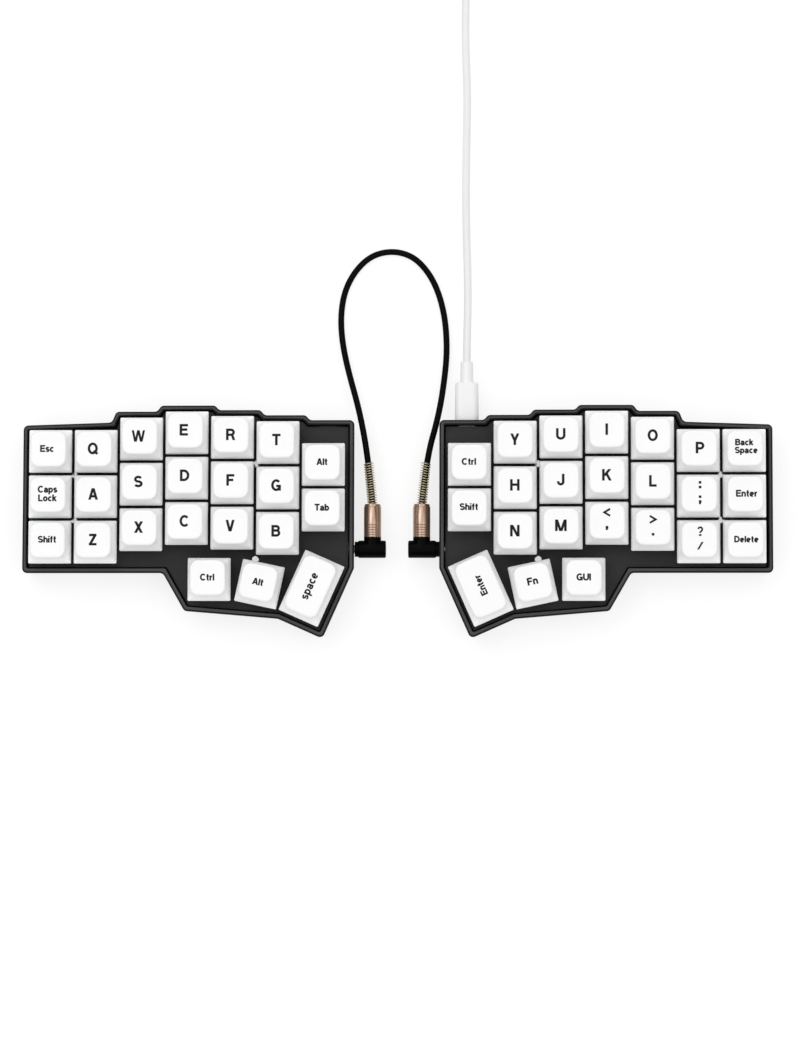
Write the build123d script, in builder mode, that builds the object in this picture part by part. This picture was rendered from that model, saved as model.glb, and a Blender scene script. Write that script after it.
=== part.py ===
# Ergonomic split keyboard: two mirrored halves, a link cord between them and a USB lead.
# Sizes are in millimetres and angles in degrees. X runs from the left half to the right
# one, Y from the typist to the back, and Z up from the desk. The right half is worked out,
# and the left half is its mirror image. Key places count from the outer column's top key.
import os
from math import cos, pi, radians, sin, tan

from build123d import *

os.makedirs("parts", exist_ok=True)

# Key grid: seven columns from the outer edge inwards, and how far each rises
pitch = 19.05
outer_column_x = 144.8
ring_rise = 5.2
middle_rise = 7.75
index_rise = 5.8
reach_rise = 3.6
extra_drop = 5.65
column_rises = [0, 0, ring_rise, middle_rise, index_rise, reach_rise, -extra_drop]
row_count = 3
extra_row_count = 2

# Thumb keys, outwards from the inmost one, which is one and a half units long
long_x = 35.25
long_y = -57.45
long_turn = 24
long_units = 1.5
rest_step = 21.7
rest_x = long_x + rest_step
rest_y = -55.7
rest_turn = 12
tuck_step = 21.05
tuck_x = rest_x + tuck_step
tuck_y = -53.75

# Key caps
cap_side = 18.0
cap_top_side = 14.2
cap_height = 9.3
cap_base_corner = 0.5
cap_top_corner = 3.4
cap_edge_round = 0.5
cap_wall = 1.5
cap_roof = 1.9
cap_dish = 0.35
cap_over_housing_drop = 0.4
post_diameter = 5.5

# Switches, measured from the plate's top face
housing_side = 13.9
housing_depth = 5.0
housing_corner = 0.6
housing_floor = 1.0
flange_side = 15.6
flange_thickness = 1.0
well_side = 11.6
housing_height = 6.6
shoulder_side = 14.0
crown_width = 10.4
crown_depth = 11.4
crown_wall = 1.0
crown_well_side = 8.9
guide_diameter = 4.0
guide_length = 3.3
guide_bore = 2.8
guide_end = 0.7
contact_diameter = 1.4
contact_rise = 0.6
contact_clearance = 0.1
left_contact_x = -3.81
left_contact_y = 2.54
right_contact_x = 2.54
right_contact_y = 5.08

# Stem and return spring
stem_side = 7.2
stem_clearance = 0.15
stem_wall = 0.75
stem_slot = 3.4
stem_height = 3.6
cross_arm = 4.1
cross_thickness = 1.2
cross_clearance = 0.05
slider_side = 8.2
slider_length = 3.5
slider_play = 0.3
pole_diameter = 2.2
pole_reach = 3.8
spring_diameter = 4.6
spring_wire = 0.4
spring_play = 0.2
spring_recess = 2.5

# Case and what it holds, stacked from the desk up
foot_height = 1.0
foot_diameter = 9.0
foot_inset = 8.5
foot_round = 0.3
floor_thickness = 2.0
socket_room = 2.6
board_thickness = 1.6
plate_thickness = 1.5
rim_over_plate = 2.3
case_wall = 2.2
case_draft = 5.0
rim_margin = 3.2
inner_margin = 3.8
front_margin = 3.7
tip_margin = 3.5
tuck_side_margin = 1.8
tuck_front_margin = 3.95
notch_run = 9.1
valley_inset = 1.0
port_edge_y = 13.7
back_slope = 1.2
step_run = 1.8
case_corner = 2.2
tray_corner = 0.7
rim_round = 0.9
rim_chamfer = 0.3
floor_chamfer = 0.6
plate_gap = 0.5
plate_corner = 0.5
plate_cutout = 14.0
board_gap = 0.8
overrun = 1.0

# Plate screws and their bosses
screw_diameter = 2.0
screw_clearance = 0.05
screw_length = 6.0
screw_head_diameter = 3.2
screw_head_height = 1.2
screw_head_round = 0.4
screw_socket = 1.3
screw_socket_depth = 0.6
boss_diameter = 5.0
boss_clearance = 0.3
front_screw_gap = 1.4

# Circuit boards' pieces
guide_hole_clearance = 0.1
contact_hole_diameter = 3.0
socket_height = 1.8
socket_grip_diameter = 1.6
socket_left_width = 3.6
socket_left_depth = 4.6
socket_right_width = 6.9
socket_right_depth = 4.4
socket_offset = 0.35
diode_length = 3.7
diode_width = 1.6
diode_height = 1.1
diode_drop = 5.2
chip_side = 7.0
chip_height = 0.9
chip_drop = 10.0
jack_length = 12.1
jack_width = 6.0
jack_height = 5.0
jack_setback = 0.3
jack_play = 0.2
jack_y = -40.25
jack_z = 8.0
socket_width = 8.94
socket_thickness = 3.2
socket_depth = 7.3
socket_shell = 0.3
socket_setback = 0.3
tongue_width = 6.6
tongue_thickness = 0.7
tongue_length = 5.0
usb_x = 29.2

# Link plugs: a right-angle body on a copper barrel, with a spring round the cord
link_pin_diameter = 3.5
link_pin_length = 14.0
link_pin_tip = 0.9
link_pin_play = 0.05
link_port_diameter = 4.4
collar_diameter = 6.4
collar_length = 1.4
link_body_diameter = 7.3
link_body_length = 11.6
link_body_chamfer = 0.35
barrel_x = 10.3
barrel_diameter = 7.2
barrel_length = 14.0
barrel_chamfer = 0.5
neck_reach = 1.4
spring_lean = 5.6
link_wire = 0.4
link_spring_radius = 1.95
link_spring_pitch = 0.86
link_spring_turns = 20
link_spring_foot = 0.55

# Cords
link_cord_diameter = 2.6
first_link_run = 19.0
usb_cord_diameter = 3.2
usb_plug_width = 10.1
usb_plug_thickness = 6.0
usb_plug_corner = 2.7
usb_plug_length = 16.3
usb_plug_taper = 0.5
usb_plug_round = 1.0
relief_length = 8.6
relief_start = 5.4
relief_end = 5.2
usb_shell_width = 8.25
usb_shell_thickness = 2.4
usb_shell_wall = 0.3
usb_shell_length = 6.65
usb_port_width = 9.4
usb_port_height = 3.4
slot_end_flat = 0.1

# Coil of the USB lead: lower turns wind inwards, upper turns wind outwards, on a flat tie
tie_thickness = 0.6
coil_start_y = 225.0
coil_x = 28.6
coil_outer_radius = 24.75
coil_turn_pitch = 3.7
coil_layer_rise = 3.65
inward_quarters = 14
climb_quarters = 2
outward_quarters = 13
tail_flat_run = 12.0
tail_length = 30.0

# Heights that follow
case_bottom = foot_height
floor_top = case_bottom + floor_thickness
board_bottom = floor_top + socket_room
board_top = board_bottom + board_thickness
plate_top = board_top + housing_depth
plate_bottom = plate_top - plate_thickness
rim_top = plate_top + rim_over_plate
usb_z = board_top + socket_thickness / 2

# Key places of the right half, as x, y and turn
half_cap = cap_side / 2
long_cap_side = long_units * pitch - (pitch - cap_side)
column_xs = [outer_column_x - pitch * column for column in range(len(column_rises))]


def grid_places():
    places = []
    for x, rise in zip(column_xs, column_rises):
        rows = extra_row_count if x == column_xs[-1] else row_count
        places += [(x, rise - pitch * row, 0) for row in range(rows)]
    return places


thumb_places = [(tuck_x, tuck_y, 0), (rest_x, rest_y, rest_turn), (long_x, long_y, long_turn)]
right_places = grid_places() + thumb_places
left_places = [(-x, y, -turn) for x, y, turn in right_places]

# Key names in the same order: each column from the back to the front, then the thumb keys
right_names = "backspace enter delete p semicolon slash o l period i k comma u j m y h n".split()
right_names += "right_ctrl right_shift gui fn thumb_enter".split()
left_names = "esc caps_lock left_shift q a z w s x e d c r f v t g b".split()
left_names += "upper_alt tab left_ctrl thumb_alt space".split()

# Outline of the right half
outer_x = outer_column_x + half_cap + rim_margin
inner_x = column_xs[-1] - half_cap - inner_margin
front_y = -pitch * (row_count - 1) - half_cap - front_margin


def beside_long_key(across, along):
    # A point in the long thumb key's own directions
    turn = radians(long_turn)
    x = long_x + across * cos(turn) - along * sin(turn)
    y = long_y + across * sin(turn) + along * cos(turn)
    return x, y


def outline_points():
    # Back edge: it steps with the columns, always at the higher column's side
    tops = [rise + half_cap + rim_margin for rise in column_rises]
    tops[-1] = port_edge_y
    points = [(outer_x, tops[0] - back_slope / 2)]
    for column in range(1, len(tops) - 1):
        inward = tops[column + 1] > tops[column]
        if inward:
            middle = column_xs[column + 1] + half_cap + rim_margin
        else:
            middle = column_xs[column] - half_cap - rim_margin
        start_y = tops[column] + (back_slope / 2 if column == 1 else 0)
        points.append((middle + step_run / 2, start_y))
        points.append((middle - step_run / 2, tops[column + 1]))
    points.append((inner_x, port_edge_y))
    # Inner edge, down to where it turns along the long thumb key
    across = -(half_cap + tip_margin)
    along = -(long_cap_side / 2 + tip_margin)
    turn = radians(long_turn)
    bend_along = (long_x + across * cos(turn) - inner_x) / sin(turn)
    points.append(beside_long_key(across, bend_along))
    # Front edge under the thumb keys, then under the outer columns
    points.append(beside_long_key(across, along))
    points.append(beside_long_key(half_cap - valley_inset, along))
    foot_x = tuck_x + half_cap + tuck_side_margin
    points.append((foot_x, tuck_y - half_cap - tuck_front_margin))
    points.append((foot_x + notch_run, front_y))
    points.append((outer_x, front_y))
    return points


def outline(inset, corner):
    with BuildSketch() as plan:
        with BuildLine():
            Polyline(*outline_points(), close=True)
        make_face()
        if inset > 0:
            offset(amount=-inset, kind=Kind.TANGENT, mode=Mode.REPLACE)
        fillet(plan.vertices(), corner)
    return plan.sketch


case_plan = outline(0, case_corner)
tray_plan = outline(case_wall, tray_corner)
plate_plan = outline(case_wall + plate_gap, plate_corner)
board_plan = outline(case_wall + board_gap, plate_corner)

# The origin stands on the desk at the middle of the case's box
middle_y = case_plan.bounding_box().center().Y


def level(height):
    return Plane(origin=(0, -middle_y, height))


def spot(x, y, height):
    return Vector(x, y - middle_y, height)


def seats(places, height):
    return [Location(spot(x, y, height), (0, 0, turn)) for x, y, turn in places]


def write(name, *pieces):
    # Pieces that are alike share a file and stay separate solids
    body = pieces[0] if len(pieces) == 1 else Compound(children=list(pieces))
    body.label = name
    export_step(body, f"parts/{name}.step")


def mirrored(piece):
    with BuildPart() as twin:
        mirror(piece, about=Plane.YZ)
    return twin.part


# Screws stand where four keys meet, and in front of the index columns
between_outer_x = outer_column_x - pitch / 2
between_index_x = column_xs[4] - pitch / 2
index_seam_y = (index_rise + reach_rise) / 2 - pitch / 2
front_screw_y = reach_rise - pitch * (row_count - 1) - half_cap - front_screw_gap
screw_places = [
    (between_outer_x, -pitch / 2),
    (between_outer_x, -pitch * 3 / 2),
    (between_index_x, index_seam_y),
    (between_index_x, front_screw_y),
]
screw_hole = screw_diameter + 2 * screw_clearance


# Case: a tray whose wall leans in towards the desk and rises above the plate as a rounded rim
with BuildPart() as right_case:
    with BuildSketch(level(rim_top)):
        add(case_plan)
    extrude(amount=case_bottom - rim_top, taper=case_draft)
    with BuildSketch(level(floor_top)):
        add(tray_plan)
    extrude(amount=rim_top - floor_top, mode=Mode.SUBTRACT)
    fillet(right_case.faces().sort_by(Axis.Z)[-1].outer_wire().edges(), rim_round)
    chamfer(right_case.faces().sort_by(Axis.Z)[-1].inner_wires()[0].edges(), rim_chamfer)
    chamfer(right_case.faces().sort_by(Axis.Z)[0].outer_wire().edges(), floor_chamfer)
    # Bosses that carry the plate
    with BuildSketch(level(floor_top)):
        with Locations(*screw_places):
            Circle(boss_diameter / 2)
    extrude(amount=plate_bottom - floor_top)
    with BuildSketch(level(plate_bottom - screw_length + plate_thickness - overrun)):
        with Locations(*screw_places):
            Circle(screw_hole / 2)
    extrude(amount=screw_length - plate_thickness + overrun, mode=Mode.SUBTRACT)
    # Link port in the inner wall
    with BuildSketch(Plane(origin=spot(inner_x - overrun, jack_y, jack_z), z_dir=(1, 0, 0))):
        Circle(link_port_diameter / 2)
    extrude(amount=case_wall + 2 * overrun, mode=Mode.SUBTRACT)
    # USB port in the back wall
    port_spot = spot(usb_x, port_edge_y + overrun, usb_z)
    with BuildSketch(Plane(origin=port_spot, x_dir=(1, 0, 0), z_dir=(0, -1, 0))):
        RectangleRounded(usb_port_width, usb_port_height, usb_port_height / 2 - slot_end_flat / 2)
    extrude(amount=case_wall + 2 * overrun, mode=Mode.SUBTRACT)
write("right_case", right_case.part)
write("left_case", mirrored(right_case.part))


# Switch plate, held by the screws on the bosses
with BuildPart() as right_plate:
    with BuildSketch(level(plate_bottom)):
        add(plate_plan)
        with Locations(*[Location((x, y, 0), (0, 0, turn)) for x, y, turn in right_places]):
            Rectangle(plate_cutout, plate_cutout, mode=Mode.SUBTRACT)
        with Locations(*screw_places):
            Circle(screw_hole / 2, mode=Mode.SUBTRACT)
    extrude(amount=plate_thickness)
write("switch_plates", right_plate.part, mirrored(right_plate.part))


# Plate screw, with a domed head and a hexagonal socket
with BuildPart() as screw:
    with BuildSketch():
        Circle(screw_head_diameter / 2)
    extrude(amount=screw_head_height)
    fillet(screw.faces().sort_by(Axis.Z)[-1].edges(), screw_head_round)
    with BuildSketch(Plane.XY.offset(screw_head_height - screw_socket_depth)):
        RegularPolygon(screw_socket / 2, 6)
    extrude(amount=screw_socket_depth, mode=Mode.SUBTRACT)
    with BuildSketch(Plane.XY.offset(-screw_length)):
        Circle(screw_diameter / 2)
    extrude(amount=screw_length)
screw_seats = [Location(spot(side * x, y, plate_top)) for side in (1, -1) for x, y in screw_places]
write("plate_screws", *[screw.part.moved(seat) for seat in screw_seats])


# Rubber feet near the corners of each half
with BuildPart() as foot:
    with BuildSketch():
        Circle(foot_diameter / 2)
    extrude(amount=foot_height)
    fillet(foot.faces().sort_by(Axis.Z)[0].edges(), foot_round)
foot_places = [
    (outer_x - foot_inset, half_cap + rim_margin - foot_inset),
    (outer_x - foot_inset, front_y + foot_inset),
    (inner_x + foot_inset, port_edge_y - foot_inset),
    beside_long_key(0, -(long_cap_side / 2 + tip_margin - foot_inset)),
]
foot_seats = [Location(spot(side * x, y, 0)) for side in (1, -1) for x, y in foot_places]
write("rubber_feet", *[foot.part.moved(seat) for seat in foot_seats])


# Lower switch housing: a box with a flange on the plate and a guide post through the board
contact_spots = [(left_contact_x, left_contact_y), (right_contact_x, right_contact_y)]
contact_hole = contact_diameter + 2 * contact_clearance
with BuildPart() as lower_housing:
    with BuildSketch(Plane.XY.offset(-housing_depth)):
        RectangleRounded(housing_side, housing_side, housing_corner)
    extrude(amount=housing_depth)
    with BuildSketch():
        RectangleRounded(flange_side, flange_side, housing_corner)
    extrude(amount=flange_thickness)
    with BuildSketch(Plane.XY.offset(housing_floor - housing_depth)):
        Rectangle(well_side, well_side)
    extrude(amount=housing_depth - housing_floor + flange_thickness, mode=Mode.SUBTRACT)
    with BuildSketch(Plane.XY.offset(-housing_depth - guide_length)):
        Circle(guide_diameter / 2)
    extrude(amount=guide_length)
    with BuildSketch(Plane.XY.offset(-housing_depth - guide_length + guide_end)):
        Circle(guide_bore / 2)
    extrude(amount=guide_length - guide_end + housing_floor, mode=Mode.SUBTRACT)
    with BuildSketch(Plane.XY.offset(-housing_depth)):
        with Locations(*contact_spots):
            Circle(contact_hole / 2)
    extrude(amount=housing_floor, mode=Mode.SUBTRACT)

# Upper switch housing: a tapered hood with a square opening for the stem
crown_well_top = housing_height - crown_wall
stem_opening = stem_side + 2 * stem_clearance
with BuildPart() as upper_housing:
    with BuildSketch(Plane.XY.offset(flange_thickness)):
        RectangleRounded(shoulder_side, shoulder_side, housing_corner)
    with BuildSketch(Plane.XY.offset(housing_height)):
        RectangleRounded(crown_width, crown_depth, housing_corner)
    loft()
    with BuildSketch(Plane.XY.offset(flange_thickness)):
        Rectangle(well_side, well_side)
    with BuildSketch(Plane.XY.offset(crown_well_top)):
        Rectangle(crown_well_side, crown_well_side)
    loft(mode=Mode.SUBTRACT)
    with BuildSketch(Plane.XY.offset(crown_well_top)):
        Rectangle(stem_opening, stem_opening)
    extrude(amount=crown_wall, mode=Mode.SUBTRACT)

# Stem: a slider kept in by the hood, a neck, two C-shaped walls and a cross
slider_top = crown_well_top - slider_play
slider_bottom = slider_top - slider_length
with BuildPart() as stem:
    with BuildSketch(Plane.XY.offset(slider_bottom)):
        RectangleRounded(slider_side, slider_side, housing_corner)
    extrude(amount=slider_length)
    with BuildSketch(Plane.XY.offset(slider_top)):
        RectangleRounded(stem_side, stem_side, housing_corner)
    extrude(amount=housing_height - slider_top)
    with BuildSketch(Plane.XY.offset(housing_height)):
        RectangleRounded(stem_side, stem_side, housing_corner)
        Rectangle(stem_side - 2 * stem_wall, stem_side - 2 * stem_wall, mode=Mode.SUBTRACT)
        Rectangle(stem_slot, stem_side, mode=Mode.SUBTRACT)
        Rectangle(cross_arm, cross_thickness)
        Rectangle(cross_thickness, cross_arm)
    extrude(amount=stem_height)
    with BuildSketch(Plane.XY.offset(slider_bottom)):
        Circle(spring_diameter / 2 + spring_play)
    extrude(amount=spring_recess, mode=Mode.SUBTRACT)
    with BuildSketch(Plane.XY.offset(slider_bottom - pole_reach)):
        Circle(pole_diameter / 2)
    extrude(amount=pole_reach + spring_recess)

# Return spring, as the sleeve that its turns fill, from the housing's floor to the stem
spring_bottom = housing_floor - housing_depth
with BuildPart() as return_spring:
    with BuildSketch(Plane.XY.offset(spring_bottom)):
        Circle(spring_diameter / 2)
        Circle(spring_diameter / 2 - spring_wire, mode=Mode.SUBTRACT)
    extrude(amount=slider_bottom + spring_recess - spring_bottom)

# Contact pins, from just above the housing's floor to the switch socket
with BuildPart() as contacts:
    with BuildSketch(Plane.XY.offset(-housing_depth - guide_length)):
        with Locations(*contact_spots):
            Circle(contact_diameter / 2)
    extrude(amount=guide_length + housing_floor + contact_rise)

switch_seats = seats(right_places + left_places, plate_top)
write(
    "switch_housings",
    *[piece.part.moved(seat) for piece in (lower_housing, upper_housing) for seat in switch_seats],
)
write(
    "switch_springs_and_contacts",
    *[piece.part.moved(seat) for piece in (return_spring, contacts) for seat in switch_seats],
)


# Key cap: a shell that narrows to a rounded, slightly dished top, with a post under it
skirt_bottom = housing_height - cap_over_housing_drop


def key_cap(length):
    top_length = length - (cap_side - cap_top_side)
    top = skirt_bottom + cap_height
    roof_bottom = top - cap_roof
    inner_taper = 2 * cap_wall
    socket_depth_in_post = stem_height + cap_over_housing_drop
    dish_radius = ((top_length / 2) ** 2 + cap_dish**2) / (2 * cap_dish)
    with BuildPart() as cap:
        with BuildSketch(Plane.XY.offset(skirt_bottom)):
            RectangleRounded(cap_side, length, cap_base_corner)
        with BuildSketch(Plane.XY.offset(top)):
            RectangleRounded(cap_top_side, top_length, cap_top_corner)
        loft()
        fillet(cap.faces().sort_by(Axis.Z)[-1].edges(), cap_edge_round)
        with Locations((0, 0, top - cap_dish + dish_radius)):
            Sphere(dish_radius, mode=Mode.SUBTRACT)
        with BuildSketch(Plane.XY.offset(skirt_bottom)):
            RectangleRounded(cap_side - inner_taper, length - inner_taper, cap_base_corner)
        with BuildSketch(Plane.XY.offset(roof_bottom)):
            RectangleRounded(cap_top_side - inner_taper, top_length - inner_taper, cap_base_corner)
        loft(mode=Mode.SUBTRACT)
        with BuildSketch(Plane.XY.offset(housing_height)):
            Circle(post_diameter / 2)
        extrude(amount=roof_bottom - housing_height)
        with BuildSketch(Plane.XY.offset(housing_height)):
            Rectangle(cross_arm + 2 * cross_clearance, cross_thickness + 2 * cross_clearance)
            Rectangle(cross_thickness + 2 * cross_clearance, cross_arm + 2 * cross_clearance)
        extrude(amount=socket_depth_in_post, mode=Mode.SUBTRACT)
    return cap.part


short_cap = key_cap(cap_side)
long_cap = key_cap(long_cap_side)
for names, places in ((right_names, right_places), (left_names, left_places)):
    for name, place, seat in zip(names, places, seats(places, plate_top)):
        cap = long_cap if abs(place[2]) == long_turn else short_cap
        write(f"key_{name}", cap.moved(seat), stem.part.moved(seat))


# Circuit board: holes for guide posts, contacts and bosses, and a notch for the link jack
tray_inner_x = inner_x + case_wall
jack_front_x = tray_inner_x + jack_setback
guide_hole = guide_diameter + 2 * guide_hole_clearance
board_hole_for_boss = boss_diameter + 2 * boss_clearance


def board(places, side):
    with BuildPart() as made:
        with BuildSketch(level(board_bottom)):
            add(board_plan if side > 0 else mirror(board_plan, about=Plane.YZ))
            with Locations(*[Location((x, y, 0), (0, 0, turn)) for x, y, turn in places]):
                Circle(guide_hole / 2, mode=Mode.SUBTRACT)
                with Locations(*contact_spots):
                    Circle(contact_hole_diameter / 2, mode=Mode.SUBTRACT)
            with Locations(*[(side * x, y) for x, y in screw_places]):
                Circle(board_hole_for_boss / 2, mode=Mode.SUBTRACT)
            with Locations((side * (jack_front_x + jack_length / 2 - jack_setback), jack_y)):
                notch_width = jack_width + 2 * jack_play
                Rectangle(jack_length + 2 * jack_setback, notch_width, mode=Mode.SUBTRACT)
        extrude(amount=board_thickness)
    return made.part


# Switch socket under the board, in two steps round the guide post
with BuildPart() as switch_socket:
    with BuildSketch(Plane.XY.offset(-housing_depth - board_thickness - socket_height)):
        with Locations((left_contact_x - socket_offset, left_contact_y + socket_offset)):
            Rectangle(socket_left_width, socket_left_depth)
        with Locations((right_contact_x / 2, right_contact_y)):
            Rectangle(socket_right_width, socket_right_depth)
        with Locations(*contact_spots):
            Circle(socket_grip_diameter / 2, mode=Mode.SUBTRACT)
    extrude(amount=socket_height)

with BuildPart() as diode:
    with BuildSketch(Plane.XY.offset(-housing_depth - board_thickness - diode_height)):
        with Locations((0, -diode_drop)):
            Rectangle(diode_length, diode_width)
    extrude(amount=diode_height)

with BuildPart() as right_chip:
    with BuildSketch(level(board_bottom - chip_height)):
        with Locations((usb_x, port_edge_y - chip_drop)):
            Rectangle(chip_side, chip_side)
    extrude(amount=chip_height)

# Link jack, sunk in the board's notch, with its bore towards the port
jack_bore = link_pin_diameter + 2 * link_pin_play
jack_bore_depth = link_pin_length - case_wall - jack_setback + jack_play
with BuildPart() as right_jack:
    jack_face = Plane(origin=spot(jack_front_x, jack_y, jack_z), x_dir=(0, 1, 0), z_dir=(1, 0, 0))
    with BuildSketch(jack_face):
        Rectangle(jack_width, jack_height)
    extrude(amount=jack_length)
    with BuildSketch(jack_face):
        Circle(jack_bore / 2)
    extrude(amount=jack_bore_depth, mode=Mode.SUBTRACT)

# USB socket on the board: a flat shell with a tongue, open to the back wall
with BuildPart() as right_usb_socket:
    mouth_y = port_edge_y - case_wall - socket_setback
    mouth = Plane(origin=spot(usb_x, mouth_y, usb_z), x_dir=(1, 0, 0), z_dir=(0, -1, 0))
    inner_width = socket_width - 2 * socket_shell
    inner_height = socket_thickness - 2 * socket_shell
    with BuildSketch(mouth):
        RectangleRounded(socket_width, socket_thickness, socket_thickness / 2 - socket_shell)
    extrude(amount=socket_depth)
    with BuildSketch(mouth):
        RectangleRounded(inner_width, inner_height, inner_height / 2 - socket_shell)
    extrude(amount=socket_depth - socket_shell, mode=Mode.SUBTRACT)
    with BuildSketch(mouth.offset(socket_depth - socket_shell - tongue_length)):
        Rectangle(tongue_width, tongue_thickness)
    extrude(amount=tongue_length)

board_pieces = [board(right_places, 1), board(left_places, -1)]
for piece in (right_chip, right_jack, right_usb_socket):
    board_pieces += [piece.part, mirrored(piece.part)]
board_pieces += [piece.part.moved(seat) for piece in (switch_socket, diode) for seat in switch_seats]
write("circuit_boards", *board_pieces)


# Link plug of the right half: black body with a collar against the case and a neck
body_end_x = inner_x - collar_length - link_body_length
neck_y = jack_y + link_body_diameter / 2 + neck_reach
barrel_end_y = neck_y + barrel_length
with BuildPart() as link_body:
    with BuildSketch(Plane(origin=spot(body_end_x, jack_y, jack_z), z_dir=(1, 0, 0))):
        Circle(link_body_diameter / 2)
    extrude(amount=link_body_length)
    chamfer(link_body.edges().filter_by(GeomType.CIRCLE), link_body_chamfer)
    with BuildSketch(Plane(origin=spot(inner_x - collar_length, jack_y, jack_z), z_dir=(1, 0, 0))):
        Circle(collar_diameter / 2)
    extrude(amount=collar_length)
    with BuildSketch(Plane(origin=spot(barrel_x, jack_y, jack_z), z_dir=(0, 1, 0))):
        Circle(barrel_diameter / 2)
    extrude(amount=neck_y - jack_y)

with BuildPart() as link_barrel:
    with BuildSketch(Plane(origin=spot(barrel_x, neck_y, jack_z), z_dir=(0, 1, 0))):
        Circle(barrel_diameter / 2)
    extrude(amount=barrel_length)
    chamfer(link_barrel.faces().sort_by(Axis.Y)[-1].edges(), barrel_chamfer)

with BuildPart() as link_pin:
    with BuildSketch(Plane(origin=spot(inner_x, jack_y, jack_z), z_dir=(1, 0, 0))):
        Circle(link_pin_diameter / 2)
    extrude(amount=link_pin_length)
    chamfer(link_pin.faces().sort_by(Axis.X)[-1].edges(), link_pin_tip)

link_pieces = [piece.part for piece in (link_body, link_barrel, link_pin)]
write("link_plugs", *link_pieces, *[mirrored(piece) for piece in link_pieces])


# Wound and free tubes
parallel_limit = 1e-6


def biarc(start, start_way, end, end_way):
    # Two tangent arcs from one point and direction to another, joined where they balance
    chord = end - start
    ways = start_way + end_way
    spread = 2 * (1 - start_way.dot(end_way))
    along = chord.dot(ways)
    if spread < parallel_limit:
        reach = chord.dot(chord) / (4 * chord.dot(end_way))
    else:
        reach = (-along + (along**2 + spread * chord.dot(chord)) ** 0.5) / spread
    leave = start + start_way * reach
    arrive = end - end_way * reach
    joint = (leave + arrive) * 0.5
    TangentArc(start, joint, tangent=start_way)
    TangentArc(joint, end, tangent=arrive - leave)


def least_gap(path, diameter, turn_length, samples):
    # Least space between the tube and itself, apart from stretches under half a turn away
    step = path.length / samples
    by_length = PositionMode.LENGTH
    points = [path.position_at(step * k, position_mode=by_length) for k in range(samples + 1)]
    apart = int(turn_length / 2 / step) + 1
    nearest = min(
        (points[i] - points[j]).length
        for i in range(len(points))
        for j in range(i + apart, len(points))
    )
    return nearest - diameter


def bend_radii(points):
    # The largest arc that each corner's two runs allow
    radii = []
    for before, here, after in zip(points, points[1:], points[2:]):
        run = min((here - before).length, (after - here).length)
        turn = (here - before).get_angle(after - here)
        radii.append(0.45 * run / tan(radians(turn) / 2))
    return radii


def cord_tube(name, points, diameter):
    radii = bend_radii(points)
    with BuildPart() as tube:
        with BuildLine() as path:
            FilletPolyline(*points, radius=radii)
        with BuildSketch(Plane(origin=points[0], z_dir=points[1] - points[0])):
            Circle(diameter / 2)
        sweep(path=path.wire())
    expected = pi * (diameter / 2) ** 2 * path.wire().length
    print(name, "radii", [round(radius, 1) for radius in radii])
    print(name, "length", round(path.wire().length, 1))
    print(name, "volume share of section times length", round(tube.part.volume / expected, 4))
    return tube.part


# Strain-relief spring: it leans with the cord and stands on the barrel's end
lean = radians(spring_lean)
spring_foot = spot(barrel_x, barrel_end_y, jack_z)
spring_axis = Vector(sin(lean), cos(lean), 0)
spring_side = Vector(cos(lean), -sin(lean), 0)
spring_up = Vector(0, 0, 1)


def spring_point(turns):
    angle = 2 * pi * turns
    rise = link_wire + link_spring_foot + link_spring_pitch * turns
    ring = spring_side * cos(angle) + spring_up * sin(angle)
    return spring_foot + spring_axis * rise + ring * link_spring_radius


def spring_way(turns):
    angle = 2 * pi * turns
    ring = spring_up * cos(angle) - spring_side * sin(angle)
    return (ring * (2 * pi * link_spring_radius) + spring_axis * link_spring_pitch).normalized()


with BuildPart() as right_link_spring:
    foot_ring = spring_side * cos(pi / 4) - spring_up * sin(pi / 4)
    foot_point = spring_foot + foot_ring * link_spring_radius
    foot_top = foot_point + Vector(0, link_wire, 0)
    with BuildLine() as spring_path:
        Line(foot_point, foot_top)
        biarc(foot_top, Vector(0, 1, 0), spring_point(0), spring_way(0))
        for half in range(2 * link_spring_turns):
            first = half / 2
            second = first + 1 / 2
            biarc(spring_point(first), spring_way(first), spring_point(second), spring_way(second))
        last = spring_point(link_spring_turns)
        Line(last, last + spring_way(link_spring_turns) * link_wire)
    with BuildSketch(Plane(origin=foot_point, z_dir=(0, 1, 0))):
        Circle(link_wire / 2)
    sweep(path=spring_path.wire())
spring_turn_length = 2 * pi * link_spring_radius
spring_gap = least_gap(spring_path.wire(), link_wire, spring_turn_length, 40 * link_spring_turns)
print("link spring least gap to itself", round(spring_gap, 3))
write("link_springs", right_link_spring.part, mirrored(right_link_spring.part))


# Link cord, from the left barrel through both springs to the right barrel
right_cord_end = spring_foot
right_cord_turn = spring_foot + spring_axis * first_link_run
left_cord_end = Vector(-right_cord_end.X, right_cord_end.Y, right_cord_end.Z)
left_cord_turn = Vector(-right_cord_turn.X, right_cord_turn.Y, right_cord_turn.Z)
link_route = [
    (-15.8, 17.6, 6.6),
    (-21.1, 36.2, 3.2),
    (-23.8, 49.3, 1.6),
    (-24.3, 60.6, 1.3),
    (-22.5, 70.8, 1.3),
    (-17.7, 79.5, 1.3),
    (-10.8, 85.6, 1.3),
    (-1.9, 87.3, 1.3),
    (6.4, 84.8, 1.3),
    (12.6, 78.4, 1.3),
    (16.9, 70.1, 1.3),
    (19.7, 59.4, 1.3),
    (20.7, 47.5, 1.6),
    (20.2, 35.9, 3.2),
    (17.6, 17.1, 6.6),
]
link_points = [left_cord_end, left_cord_turn]
link_points += [spot(*point) for point in link_route]
link_points += [right_cord_turn, right_cord_end]
write("link_cord", cord_tube("link cord", link_points, link_cord_diameter))


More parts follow.
